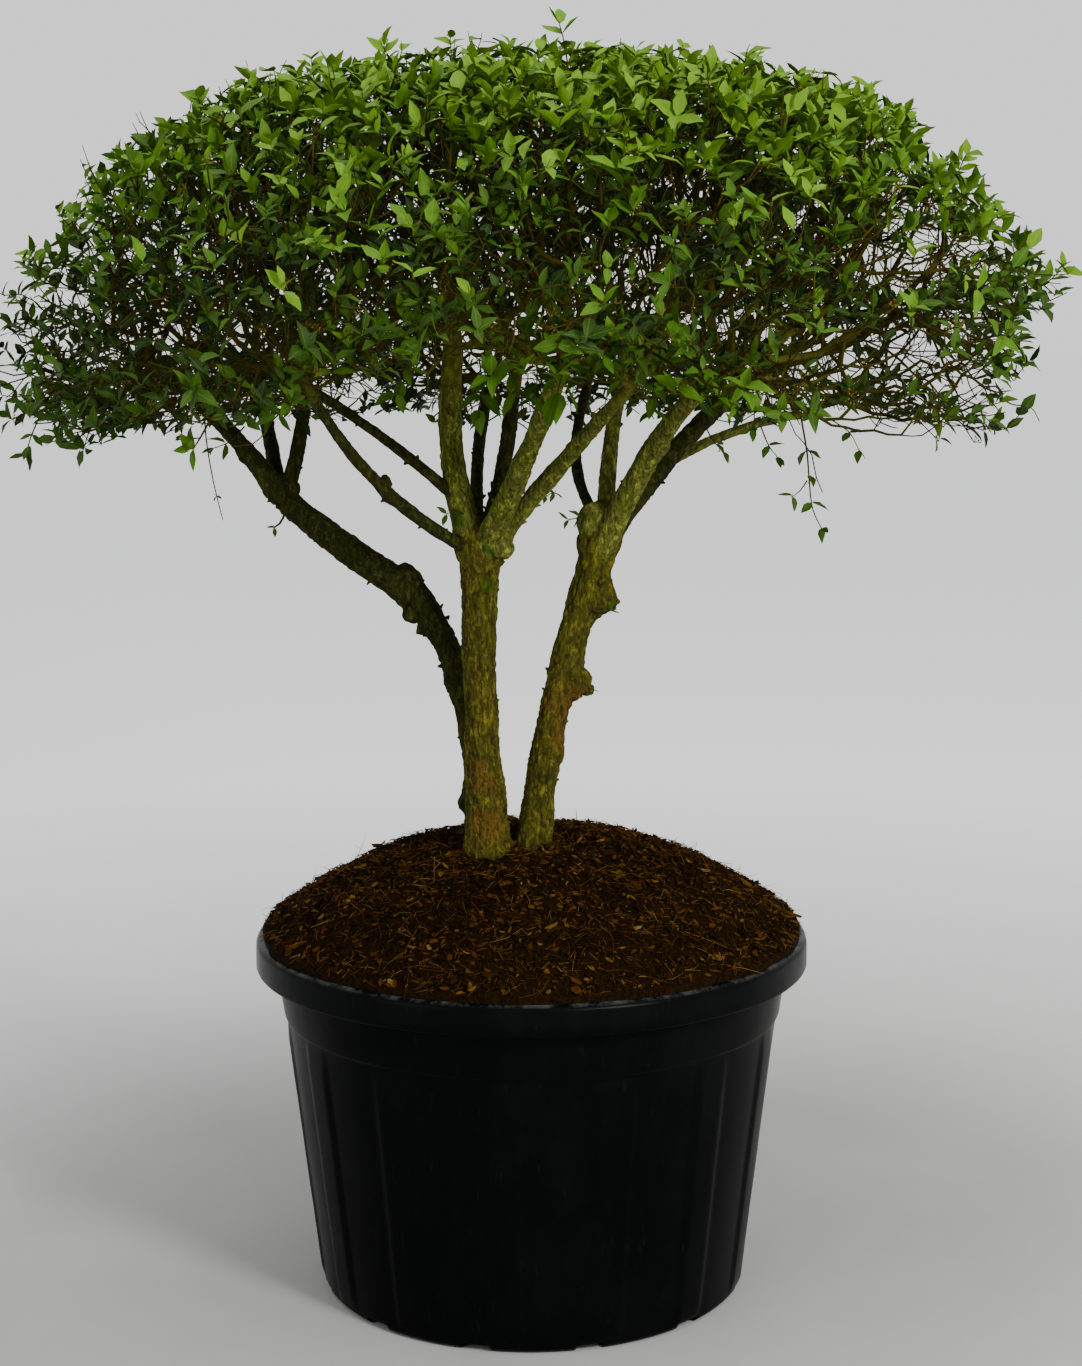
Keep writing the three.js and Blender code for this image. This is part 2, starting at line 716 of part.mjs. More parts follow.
// Two corners that all but meet would be drawn together by whatever reads the solid, so the leaf
// nearest to them is left out.
function fusedCleanly(twigs, leaves) {
  const pieces = [...twigs, ...leaves].map((piece) => piece.solid);
  const solid = largestPiece(wasm.Manifold.union(pieces));
  const trouble = closestCorners(solid);
  if (!trouble || !leaves.length) return solid;
  const distance = (leaf) => leaf.corners.root.distanceTo(trouble);
  const nearest = leaves.reduce((a, b) => (distance(b) < distance(a) ? b : a));
  if (distance(nearest) > LEAF.length) return solid;
  return fusedCleanly(twigs, leaves.filter((leaf) => leaf !== nearest));
}

function closestCorners(solid) {
  const { vertProperties, numProp, numVert } = solid.getMesh();
  const corners = Array.from({ length: numVert }, (_, i) =>
    new THREE.Vector3().fromArray(vertProperties, i * numProp));
  corners.sort((a, b) => a.x - b.x);
  for (let i = 0; i < numVert; i++) {
    for (let j = i + 1; j < numVert && corners[j].x - corners[i].x < NEAR; j++) {
      if (corners[i].distanceTo(corners[j]) < NEAR) return corners[i];
    }
  }
  return null;
}

// The assembly, in which each limb is cut clear of the limbs before it

const materials = {
  pot: new THREE.MeshStandardMaterial({ color: 0x111414, roughness: 0.45, metalness: 0 }),
  mulch: new THREE.MeshStandardMaterial({ color: 0x4a2a14, roughness: 1, metalness: 0 }),
  bark: new THREE.MeshStandardMaterial({ color: 0x6b6130, roughness: 0.9, metalness: 0 }),
  foliage: new THREE.MeshStandardMaterial({ color: 0x5c9a25, roughness: 0.6, metalness: 0 }),
};

const plant = new THREE.Group();

function addPart(name, solid, material) {
  const mesh = new THREE.Mesh(geometryFrom(solid), material);
  mesh.name = name;
  plant.add(mesh);
}

addPart("pot", potSolid(), materials.pot);
addPart("mulch_mound", moundSolid(), materials.mulch);

const curves = new Map();
const limbs = [];
for (const limb of LIMBS) {
  const curve = limbCurve(limb, curves);
  curves.set(limb.name, curve);
  let solid = limbSolid(limb, curve);
  for (const earlier of limbs) solid = solid.subtract(earlier.solid);
  const grown = limbSolid(limb, curve, GAP);
  limbs.push({ limb, curve, solid: grown, box: boxOf(grown) });
  addPart(limb.name, largestPiece(solid), materials.bark);
}

const cells = limbs
  .filter(({ limb }) => HEARTS[limb.name])
  .map(({ limb, curve }) => {
    const tip = curve.getPoint(1);
    return { limb, tip, ahead: curve.getTangent(1), line: new THREE.Line3(tip, heartOf(limb)) };
  });

const targets = throwTargets();
const leafRandom = seededRandom(LEAF.seed);
for (const cell of cells) {
  const own = targets.filter(({ p }) => ownerOf(cells, p) === cell);
  const solid = massSolid(cell, cells, limbs, own, leafRandom);
  addPart(cell.limb.name.replace("bough", "foliage"), solid, materials.foliage);
}

export default plant;
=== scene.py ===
# The looks of a potted cornelian cherry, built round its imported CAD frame.
# Sizes are in millimetres until a mesh is made. +Z is up and the best side faces -Y.

import itertools
import json
import math
from types import SimpleNamespace as Sizes

import bpy
import numpy as np
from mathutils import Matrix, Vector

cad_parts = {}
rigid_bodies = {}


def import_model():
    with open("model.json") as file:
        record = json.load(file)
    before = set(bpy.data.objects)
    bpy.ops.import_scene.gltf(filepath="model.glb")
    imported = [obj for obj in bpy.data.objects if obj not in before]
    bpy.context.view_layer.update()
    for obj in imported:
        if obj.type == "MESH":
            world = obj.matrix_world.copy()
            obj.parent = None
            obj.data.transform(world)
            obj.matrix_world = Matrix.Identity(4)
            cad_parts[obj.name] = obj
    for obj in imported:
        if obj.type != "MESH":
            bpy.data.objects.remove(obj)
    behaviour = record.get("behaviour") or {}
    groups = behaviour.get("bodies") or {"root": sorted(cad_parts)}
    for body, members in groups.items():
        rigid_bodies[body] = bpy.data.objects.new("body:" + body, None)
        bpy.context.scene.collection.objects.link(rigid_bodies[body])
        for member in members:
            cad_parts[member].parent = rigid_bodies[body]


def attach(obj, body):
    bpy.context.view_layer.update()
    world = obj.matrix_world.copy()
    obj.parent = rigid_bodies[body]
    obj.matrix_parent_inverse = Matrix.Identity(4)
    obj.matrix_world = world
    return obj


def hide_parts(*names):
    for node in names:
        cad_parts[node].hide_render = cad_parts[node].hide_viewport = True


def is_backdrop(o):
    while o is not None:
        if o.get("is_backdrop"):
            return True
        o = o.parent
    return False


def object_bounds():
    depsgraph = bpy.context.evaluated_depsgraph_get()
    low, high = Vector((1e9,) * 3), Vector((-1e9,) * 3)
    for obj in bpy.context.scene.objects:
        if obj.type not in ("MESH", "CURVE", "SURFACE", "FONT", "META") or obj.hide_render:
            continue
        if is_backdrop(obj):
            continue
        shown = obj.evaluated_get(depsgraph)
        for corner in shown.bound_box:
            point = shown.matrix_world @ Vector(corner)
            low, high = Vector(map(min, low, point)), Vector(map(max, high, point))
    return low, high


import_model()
cad_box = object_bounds()

MM = 0.001
GAP = 0.3

# Named sizes of the part's source, which the finer twigs, bark and mulch follow

POT = Sizes(
    height=551, base=329, chamfer=8, wall_top=384, wall_height=430, step=4, band_top=400,
    lip=431, lip_depth=48, mouth=405, ribs=14, rib_height=3.5, rib_turn=6,
    notches=12, notch_width=44, notch_height=11, notch_depth=18,
)
MOUND = Sizes(crest=708, ground=690, brim=553, reach=426, slope_power=1.85, crest_power=1.15)
CROWN = Sizes(
    centre_x=6, half_width=832, half_depth=760, top=1930, equator=1465, tilt=0.085,
    roundness=2.2, tuck=0.1, hollow=1400, droop=85, droop_from=150, droop_to=420, lift=40,
)
# Stems stand in the mulch or on another stem. A knob is a share of the length, degrees round the
# limb and a height.
STEMS = [
    dict(name="middle_stem", foot=(-65, -80), via=(-76, -72, 925), tip=(-76, -60, 1165),
         radii=(33, 30), waist=26, flare=9, knobs=[(0.98, -20, 11), (0.16, 40, 3)]),
    dict(name="right_stem", foot=(4, -72), via=(42, -50, 930), tip=(124, -22, 1195), radii=(26, 27),
         waist=24, flare=4, knobs=[(0.33, 20, 5), (0.55, 10, 24), (0.8, 10, 24), (0.93, 170, 7)]),
    dict(name="left_stem", foot=(-77, -4), via=(-109, 12, 940), tip=(-196, 40, 1092),
         radii=(23, 23), waist=20, flare=4, knobs=[(0.77, 200, 9), (0.5, 190, 4), (0.12, 190, 9)]),
    dict(name="left_stem_upper", parent="left_stem", start=0.93, via=(-305, 60, 1160),
         tip=(-410, 88, 1246), radii=(24, 19), knobs=[(0.08, 60, 9), (0.8, 230, 6)]),
]
# Boughs: the limb that each leaves and the share along it, the point at its middle, its tip, its
# radii, its mass's heart as degrees round the crown and a share of the way out, and its knobs
BOUGHS = [
    ("upright", "middle_stem", 0.96, (-112, -66, 1270), (-118, -62, 1410),
     (22, 17), (215, 0.3), (0.2, 150, 5)),
    ("front", "middle_stem", 0.95, (-12, -176, 1290), (40, -325, 1425), (20, 13), (268, 0.66)),
    ("right_front", "right_stem", 0.9, (192, -122, 1322), (268, -255, 1428),
     (20, 12), (322, 0.7), (0.5, 0, 4)),
    ("right", "right_stem", 0.93, (226, 18, 1302), (336, 60, 1400), (20, 12), (2, 0.74), (0.62, 300, 6)),
    ("front_right", "middle_stem", 0.95, (44, -150, 1290), (125, -275, 1392),
     (16, 10), (294, 0.7), (0.1, 330, 9)),
    ("crown", "middle_stem", 0.97, (-44, -16, 1262), (-24, 34, 1392), (15, 11), (100, 0.16)),
    ("right_top", "right_stem", 0.97, (126, 8, 1306), (148, 62, 1408), (14, 10), (15, 0.36)),
    ("left", "left_stem_upper", 0.95, (-474, 76, 1334), (-540, 50, 1402),
     (17, 11), (178, 0.76), (0.3, 200, 4)),
    ("left_top", "left_stem_upper", 0.88, (-366, 97, 1310), (-354, 120, 1402), (13, 10), (168, 0.45)),
    ("left_back", "left_stem_upper", 0.93, (-428, 225, 1326), (-462, 345, 1398), (13, 9), (142, 0.74)),
    ("back", "middle_stem", 0.95, (-82, 90, 1282), (-66, 262, 1384), (12, 9), (108, 0.7)),
    ("front_left", "middle_stem", 0.97, (-208, -176, 1256), (-304, -318, 1402),
     (11, 8), (240, 0.7), (0.5, 120, 6)),
    ("back_right", "right_stem", 0.99, (76, 70, 1266), (92, 236, 1384), (10, 8), (72, 0.68)),
    ("left_front", "bough_upright", 0.36, (-222, -112, 1336), (-322, -164, 1408), (9, 7), (208, 0.72)),
    ("right_back", "bough_right", 0.42, (318, 124, 1322), (424, 236, 1342), (9, 7), (36, 0.72)),
]
# How high a mass's heart is in the crown, how the source's twigs are thrown and joined, and the
# tips that it lists
HEART_HEIGHT = 0.62
TWIG = Sizes(
    seed=20, throws=12000, middle=118, rim=145, shell=(0.8, 0.96), inner=0.06, floor=34,
    path_weight=0.3, back_turn=0.15, back_cost=400, stem=60, margin=6.5,
)
SPRIGS = [
    (53, 0, 1892), (330, -30, 1850), (432, -60, 1300), (448, -62, 1244), (-766, 10, 1350),
    (768, 12, 1560), (730, -20, 1400), (-775, -10, 1430),
]

# Finer twigs than the source's: how many are thrown, how far apart they stay and how far they
# reach from the twig they leave, where in the crown they end, and how far a twig runs between
# bends. The last ones stand out of the crown's surface.
FINER = [
    dict(throws=34000, apart=41, reach=170, shell=(0.2, 0.93), above=10, bend=46, margin=2),
    dict(throws=34000, apart=18, reach=75, shell=(0.3, 0.95), above=-6, bend=25, margin=0.5),
    dict(throws=9000, apart=80, reach=80, shell=(0.96, 1.005), above=10, bend=25, margin=0.5),
]
FINER_SEED = 41
FINER_FLOOR = 1270
# How far the crown's outline and underside come and go, and the size of their bumps
RAGGED = Sizes(rim=0.056, under=46, grain=110)
# Places where the outline is dented, or stands out: where, how wide and how deep
DENTS = [((665, 0, 1740), 120, 0.09), ((-560, 0, 1800), 150, -0.03), ((820, 0, 1420), 120, 0.03)]
# Openings with the sky behind them, as the photograph's camera sees them in the plane of the
# pot's middle: where (x and z), their radii, and the share of leaves they lack. A part of that
# share is the share of finer twigs they lack.
OPENINGS = [
    ((570, 1590), (95, 62), 0.75), ((500, 1450), (135, 50), 0.88), ((620, 1420), (90, 60), 0.66),
    ((499, 1322), (110, 48), 1.0), ((390, 1398), (110, 34), 0.7), ((705, 1385), (60, 45), 0.72),
    ((251, 1704), (45, 34), 0.6), ((174, 1565), (46, 60), 0.6), ((300, 1500), (80, 60), 0.4),
    ((17, 1512), (40, 30), 0.8), ((-60, 1440), (125, 40), 0.6), ((-107, 1469), (34, 40), 0.85),
    ((-290, 1397), (80, 26), 0.85), ((-433, 1473), (36, 30), 0.75), ((-575, 1480), (70, 28), 0.7),
    ((-204, 1673), (26, 44), 0.5),
]
BARE_SHARE = 0.78
# How much lower twigs hang in the middle than the source's, and how much higher in front of the
# boughs and at the sides
HANG = Sizes(middle=24, brow=52, side=32, front=48)
# The radius of a twig's tip, and how far apart the rings of its bark are
TWIG_TIP = 1.15
TWIG_STEP = 24
# How far a twig's span sags, bows aside and wanders, as shares of its length
BEND = Sizes(sag=0.09, bow=0.03, wander=0.012)

# Masses whose twigs and leaves are joined into one piece each
GROUPS = {
    "left": ["left", "left_top", "left_back", "left_front", "front_left"],
    "middle": ["upright", "front", "crown", "back", "front_right"],
    "right": ["right", "right_front", "right_top", "right_back", "back_right"],
}

# A leaf's size and form, and how far out of the crown leaves may reach
LEAF = Sizes(length=30, width=0.47, fold=0.36, droop=0.2, wave=0.06, petiole=5, stem_width=0.7, reach=1.0)
# A spray: how far apart its pairs are, how wide they open in degrees, its leaf count from shade to
# light, their size from shade to light and at joints, and how its tint follows the light
SPRAY = Sizes(
    pitch=7, opening=60, steeper=12, steepest=12, widest=100, count=(2.6, 5.2), at_joint=2, most=6,
    size=(0.84, 1.36), joint_size=0.8, tint=(-0.62, 0.9),
)
# How full of leaves the crown is: the chances of a spray at a tip, bare and leafy, and at a joint,
# and of flowers, the share left in the middle and at the sides of its hollow, and its clumps' size
FULLNESS = Sizes(tip=(0.42, 1.0), joint=0.36, flowers=0.05, hollow=(0.14, 0.34), clumps=(105, 45))

# Base colours of the leaves from the shaded inside to the sunlit top, dealt out by spray
LEAF_TINTS = [
    (0.0060, 0.015, 0.0020), (0.0120, 0.031, 0.0030), (0.0200, 0.050, 0.0034), (0.0270, 0.066, 0.0038),
    (0.0370, 0.087, 0.0042), (0.0500, 0.112, 0.0050), (0.0700, 0.145, 0.0066),
]

# Tufts that stand out of the crown's outline: where (x and z) their tips are and how large their
# leaves are, and the shape that they share
TUFTS = [
    (-218, 1927, 32), (-117, 1938, 32), (-426, 1886, 32), (-503, 1848, 34), (-549, 1806, 30),
    (-648, 1730, 32), (-705, 1680, 28), (-764, 1610, 34), (-790, 1545, 28), (98, 1922, 26),
    (165, 1918, 28), (335, 1906, 38), (438, 1846, 28), (523, 1858, 34), (580, 1818, 32),
    (672, 1757, 36), (708, 1678, 30), (822, 1582, 36), (-330, 1906, 26), (250, 1902, 28),
]
TUFT = Sizes(
    length=62, bow=7, bow_at=0.45, rise=0.4, radius=1.25, tint=2, pairs=(0.1, 0.35, 0.6, 0.82, 1.0),
)

# Shoots that stand apart from the crown or sprout from the limbs: their radius, the size and least
# tint of their leaves, the shares of their length at which these sit in pairs, and their bends
SHOOTS = [
    (1.5, 31, 2, (0.3, 0.52, 0.76, 1.0),
     [(415, -60, 1360), (425, -60, 1301), (428, -60, 1263), (434, -60, 1217), (447, -60, 1188)]),
    (1.1, 24, 2, (0.9,), [(425, -60, 1262), (414, -60, 1246), (400, -60, 1236)]),
    (1.3, 30, 2, (0.55, 0.8, 1.0), [(-752, 0, 1372), (-771, 0, 1330), (-780, 0, 1302)]),
    (1.3, 12, 2, (0.78,), [(-502, 0, 1372), (-500, 0, 1330), (-490, 0, 1262), (-476, 0, 1200)]),
    (1.3, 30, 2, (0.7, 1.0), [(-440, 0, 1345), (-462, 0, 1322), (-485, 0, 1312)]),
    (1.3, 0, 2, (), [(720, 0, 1392), (746, 0, 1374), (777, 0, 1368), (790, 0, 1347)]),
    (2.6, 0, 2, (), [(640, -60, 1630), (687, -60, 1663), (712, -60, 1686)]),
    (1.2, 26, 2, (0.6, 1.0), [(360, 10, 1340), (372, 0, 1310), (384, 0, 1294)]),
    (1.2, 24, 2, (0.7, 1.0), [(272, 10, 1345), (286, 0, 1318), (301, 0, 1302)]),
    (1.1, 24, 2, (0.5, 1.0), [(470, 0, 1350), (497, 0, 1330), (511, 0, 1303)]),
    (1.4, 41, 2, (0.2, 0.5, 0.8, 1.0), [(64, 0, 1880), (58, 0, 1925), (50, 0, 1958)]),
    (1.4, 52, 4, (0.3, 0.55, 0.8, 1.0),
     [(42, -400, 1508), (45, -400, 1475), (49, -400, 1444), (42, -400, 1416)]),
    (1.3, 34, 3, (0.4, 0.7, 1.0), [(-167, -340, 1471), (-176, -340, 1440), (-186, -340, 1412)]),
    (1.2, 33, 3, (0.4, 0.7, 1.0), [(181, -360, 1442), (176, -360, 1414), (177, -360, 1388)]),
    (1.2, 38, 3, (0.1, 0.4, 0.7, 1.0), [(-69, -300, 1460), (-65, -300, 1419), (-71, -300, 1386)]),
    (1.2, 36, 4, (0.2, 0.6, 1.0), [(-30, -330, 1470), (-22, -330, 1440), (-16, -330, 1412)]),
    (1.2, 34, 3, (0.3, 0.7, 1.0), [(10, -360, 1470), (14, -360, 1436), (8, -360, 1404)]),
    (1.2, 32, 3, (0.4, 0.7, 1.0), [(280, -300, 1447), (290, -300, 1421), (287, -300, 1399)]),
    (2.2, 16, 2, (1.0,), [(-380, 45, 1216), (-391, 36, 1190), (-400, 30, 1184)]),
    (1.4, 20, 2, (0.6, 1.0), [(102, -30, 1200), (86, -42, 1206), (60, -48, 1202)]),
    (1.2, 18, 2, (0.5, 1.0), [(50, -40, 1236), (38, -46, 1244), (26, -48, 1238)]),
    (1.2, 20, 2, (1.0,), [(-100, -84, 1216), (-112, -104, 1222), (-124, -110, 1218)]),
    (1.3, 18, 2, (1.0,), [(-60, -86, 1128), (-60, -104, 1124), (-58, -110, 1108)]),
    (1.2, 13, 2, (1.0,), [(96, -62, 1062), (112, -66, 1060), (124, -66, 1064)]),
    (1.1, 0, 2, (), [(76, -66, 948), (92, -70, 944), (104, -72, 940)]),
]

# Places on the stems, with their reach, where the bark is mossy or rusty, or where the shade of a hole is
# painted dark on it
MOSS = [((-60, -100, 1108), 19), ((-112, -86, 1208), 18), ((104, -60, 985), 16), ((-62, -92, 1162), 12)]
RUST = [((62, -78, 915), 38), ((58, -76, 868), 28), ((-66, -110, 740), 34), ((-80, -106, 812), 30)]
HOLE_SHADE_SPOTS = [((-60, -104, 1122), 9), ((40, -78, 900), 5), ((96, -50, 1055), 9)]

# Burls where limbs part and where twigs were cut year after year: middles and radii
BURLS = [
    ((-76, -64, 1160), (37, 34, 44)), ((-45, -82, 1163), (20, 18, 18)), ((-196, 40, 1100), (27, 25, 25)),
    ((-184, 30, 1052), (16, 15, 20)), ((-388, 84, 1238), (24, 22, 27)), ((108, -24, 1192), (31, 28, 38)),
    ((112, -34, 1092), (18, 17, 21)), ((124, -36, 1080), (9, 9, 9)), ((76, -52, 952), (18, 17, 23)),
    ((88, -54, 940), (10, 10, 10)), ((-214, -166, 1268), (11, 10, 14)), ((-88, -20, 725), (16, 14, 26)),
]

# The photograph's camera, in metres and degrees
CAMERA = Sizes(at=(0.020, -4.033, 1.600), pitch=5.0, roll=0.28, lens=68.8, film=36.0, shift=-0.1428)


# Small mathematics


def unit(v):
    return v / np.linalg.norm(v, axis=-1, keepdims=True)


def length_of(v):
    return np.linalg.norm(v, axis=-1)


def lerp(a, b, share):
    return a + (b - a) * share


def smooth(value, low, high):
    share = np.clip((value - low) / (high - low), 0, 1)
    return share * share * (3 - 2 * share)


def fade(value, low, high):
    return 1 - smooth(value, low, high)


def around(count):
    """Evenly spaced angles of a full turn."""
    return np.arange(count) / count * 2 * math.pi


def ring_way(angle, side, square):
    """The direction at an angle from side towards square."""
    return np.cos(angle)[..., None] * side + np.sin(angle)[..., None] * square


def turned(v, axis, angle):
    """v turned round a unit axis that it is square to."""
    return ring_way(angle, v, np.cross(axis, v))


def across(ahead, reference):
    """Directions side and square to each one ahead, which don't turn along their line."""
    side = unit(np.cross(reference, ahead))
    return side, np.cross(side, ahead)


def seeded_random(seed):
    """The sequence of numbers from 0 to 1 that the part's source draws."""
    mask = 0xFFFFFFFF
    state = seed
    while True:
        state = (state + 0x6D2B79F5) & mask
        t = ((state ^ (state >> 15)) * (state | 1)) & mask
        t ^= (t + ((t ^ (t >> 7)) * (t | 61))) & mask
        yield (t ^ (t >> 14)) / 2**32


def hashed(cell, seed):
    """A number from 0 to 1 for each whole-numbered cell."""
    n = cell[..., 0] * 73856093 ^ cell[..., 1] * 19349663 ^ cell[..., 2] * 83492791
    n = (n + seed * 40503) * 2654435761 & 0xFFFFFFFF
    n = (n ^ (n >> 15)) * 2246822519 & 0xFFFFFFFF
    return (n ^ (n >> 13)) / 2**32


def noise(p, size, seed):
    """Smooth noise from -1 to 1 whose grain has the given size, one number or three."""
    q = p / np.asarray(size, float)
    cell = np.floor(q).astype(np.int64)
    f = q - cell
    f = f * f * (3 - 2 * f)
    total = 0
    for corner in itertools.product((0, 1), repeat=3):
        weight = np.prod(np.where(corner, f, 1 - f), axis=-1)
        total = total + weight * hashed(cell + np.array(corner), seed)
    return 2 * total - 1


def layered(p, size, seed, layers=3):
    size = np.asarray(size, float)
    return sum(noise(p, size / 2**i, seed + i) / 2**i for i in range(layers))


def plates(p, size, seed):
    """Cells of bark: each cell's own number from 0 to 1, and how near its border is, from 0."""
    q = p / np.asarray(size, float)
    offsets = np.array(list(itertools.product((-1, 0, 1), repeat=3)))
    cells = np.floor(q).astype(np.int64) + offsets[:, None]
    centres = cells + np.stack([hashed(cells, seed + i) for i in range(3)], axis=-1)
    distance = length_of(q - centres)
    own = hashed(np.take_along_axis(cells, distance.argmin(axis=0)[None, :, None], axis=0)[0], seed + 7)
    nearest, second = np.partition(distance, 1, axis=0)[:2]
    return own, second - nearest


# Meshes


class Heap:
    """Points and faces of many small things that become one mesh."""

    def __init__(self):
        self.points, self.faces, self.slots = [], [], []
        self.count = 0

    def add(self, points, *faces, slot=0):
        self.points.append(points)
        for corners in faces:
            self.faces.append(corners + self.count)
            self.slots.append(np.full(len(corners), slot))
        self.count += len(points)

    def piece(self, name, materials, slot, nodes, **more):
        points = np.concatenate(self.points)
        return make_piece(name, points, self.faces, materials, slot, nodes, self.slots, **more)


def put(name, data):
    """A new object in the scene."""
    made = bpy.data.objects.new(name, data)
    bpy.context.scene.collection.objects.link(made)
    return made


def make_piece(name, points, faces, materials, slot, nodes, slots=None, uv=None, values=None, smoothed=True):
    """A mesh object in metres that rides on the plant's one body, in place of some of its nodes."""
    mesh = bpy.data.meshes.new(name)
    corners = np.concatenate([f.ravel() for f in faces])
    sizes = np.concatenate([np.full(len(f), f.shape[1]) for f in faces])
    mesh.vertices.add(len(points))
    mesh.vertices.foreach_set("co", (np.asarray(points) * MM).astype(np.float32).ravel())
    mesh.loops.add(len(corners))
    mesh.loops.foreach_set("vertex_index", corners.astype(np.int32))
    mesh.polygons.add(len(sizes))
    mesh.polygons.foreach_set("loop_start", (np.cumsum(sizes) - sizes).astype(np.int32))
    if slots is not None:
        mesh.polygons.foreach_set("material_index", np.concatenate(slots).astype(np.int32))
    mesh.polygons.foreach_set("use_smooth", np.full(len(sizes), smoothed))
    mesh.update(calc_edges=True)
    if uv is not None:
        layer = mesh.uv_layers.new(name="leaf")
        layer.data.foreach_set("uv", uv[corners].astype(np.float32).ravel())
    for label, numbers in (values or {}).items():
        attribute = mesh.attributes.new(name=label, type="FLOAT", domain="POINT")
        attribute.data.foreach_set("value", numbers.astype(np.float32))
    for material in materials:
        mesh.materials.append(material)
    piece = put(name, mesh)
    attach(piece, "root")
    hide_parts(*nodes)


def grid_faces(rows, columns):
    """Four-cornered faces between rows of points that close round."""
    row, column = np.meshgrid(np.arange(rows - 1), np.arange(columns), indexing="ij")
    row, column = row.ravel(), column.ravel()
    beside = (column + 1) % columns
    here, there = row * columns, (row + 1) * columns
    return np.stack([here + column, here + beside, there + beside, there + column], axis=1)


def fan_faces(first, count, centre, flip=False):
    """Triangles from a ring of points to one point."""
    ring = first + np.arange(count)
    beside = first + (np.arange(count) + 1) % count
    pair = (beside, ring) if flip else (ring, beside)
    return np.stack([*pair, np.full(count, centre)], axis=1)


def tube(stops, radii, sides, step):
    """A tube on a smooth curve through its stops, closed at its tip."""
    spans = np.diff(stops, axis=0)
    lengths = length_of(spans)
    way = spans / lengths[:, None]
    bends = unit(np.vstack([way[:1], way[:-1] + way[1:], way[-1:]]) + 1e-9)
    cuts = np.maximum(1, np.round(lengths / step)).astype(int)
    at = np.repeat(np.arange(len(lengths)), cuts)
    t = (np.arange(len(at)) - np.repeat(np.cumsum(cuts) - cuts, cuts)) / cuts[at]
    at, t = np.append(at, len(lengths) - 1), np.append(t, 1.0)
    u, reach = t[:, None], lengths[at][:, None]
    centre = (
        (2 * u**3 - 3 * u**2 + 1) * stops[at]
        + (u**3 - 2 * u**2 + u) * bends[at] * reach
        + (3 * u**2 - 2 * u**3) * stops[at + 1]
        + (u**3 - u**2) * bends[at + 1] * reach
    )
    radius = lerp(radii[at], radii[at + 1], t)
    ahead = unit(np.gradient(centre, axis=0))
    side, square = across(ahead, np.eye(3)[np.abs(ahead).max(axis=0).argmin()])
    rings = centre[:, None] + radius[:, None, None] * ring_way(around(sides), side[:, None], square[:, None])
    tip = centre[-1:] + ahead[-1] * radius[-1]
    points = np.vstack([rings.reshape(-1, 3), tip])
    last = (len(centre) - 1) * sides
    return points, grid_faces(len(centre), sides), fan_faces(last, sides, last + sides)


# Limbs

FLARE_FADE = 14
KNOB_REACH = 0.045


class Limb:
    """A tapering limb on a quadratic curve that passes via at its middle."""

    def __init__(self, name, via, tip, radii, knobs, foot=None, parent=None, start=None, waist=None,
                 flare=0, heart=None):
        self.name = name
        self.stands = foot is not None
        self.start = np.array((*foot, MOUND.ground + GAP)) if foot else limbs[parent].point(start)
        self.tip = np.array(tip, float)
        self.control = 2 * np.array(via, float) - (self.start + self.tip) / 2
        self.radii = radii
        self.knobs = knobs
        self.swell = waist - sum(radii) / 2 if waist else 0
        self.flare = flare
        self.heart = heart
        self.length = length_of(np.diff(self.point(np.linspace(0, 1, 20)), axis=0)).sum()

    def point(self, share):
        s = np.asarray(share, float)[..., None]
        return (1 - s) ** 2 * self.start + 2 * s * (1 - s) * self.control + s**2 * self.tip

    def ahead(self, share):
        s = np.clip(np.asarray(share, float), 0, 1)[..., None]
        return unit((1 - s) * (self.control - self.start) + s * (self.tip - self.control))

    def radius(self, share, angle=0.0):
        share = np.clip(share, 0, 1)
        plain = lerp(*self.radii, share) + self.swell * np.sin(math.pi * share)
        return plain + self.flare * np.exp(-share * FLARE_FADE) + self.knob(share, angle)

    def knob(self, share, angle):
        total = 0 * share
        for at, facing, height in self.knobs:
            along = np.exp(-(((share - at) / KNOB_REACH) ** 2))
            total = total + height * along * np.maximum(0, np.cos(angle - math.radians(facing))) ** 2
        return total

    def across(self, share):
        chord = unit(self.tip - self.start)
        return across(self.ahead(share), np.array((1.0, 0, 0) if abs(chord[1]) > 0.8 else (0, 1.0, 0)))

    def surface(self, share, angle, out=0.0):
        """Points on the bark at shares of the length and angles round it, and the way out."""
        way = ring_way(angle, *self.across(share))
        return self.point(share) + (self.radius(share, angle) + out)[..., None] * way, way


limbs = {}
for spec in STEMS:
    limbs[spec["name"]] = Limb(**spec)
for suffix, parent, start, via, tip, radii, heart, *knobs in BOUGHS:
    name = f"bough_{suffix}"
    limbs[name] = Limb(name, via, tip, radii, knobs, parent=parent, start=start, heart=heart)


# The crown


def crown_equator(x):
    return CROWN.equator + CROWN.tilt * (x - CROWN.centre_x)


def crown_spread(p):
    return np.hypot((p[..., 0] - CROWN.centre_x) / CROWN.half_width, p[..., 1] / CROWN.half_depth)


def side_share(p):
    """0 in the crown's middle and 1 at its sides, where it droops."""
    return smooth(np.abs(p[..., 0] - CROWN.centre_x), CROWN.droop_from, CROWN.droop_to)


def crown_underside(p):
    side = side_share(p)
    lift = -p[..., 1] / CROWN.half_depth * CROWN.lift * (1 - side)
    return CROWN.hollow - CROWN.droop * side + lift


def crown_top(p):
    power = CROWN.roundness
    share = (1 - np.minimum(1, crown_spread(p)) ** power) ** (1 / power)
    return lerp(crown_equator(p[..., 0]), CROWN.top, share)


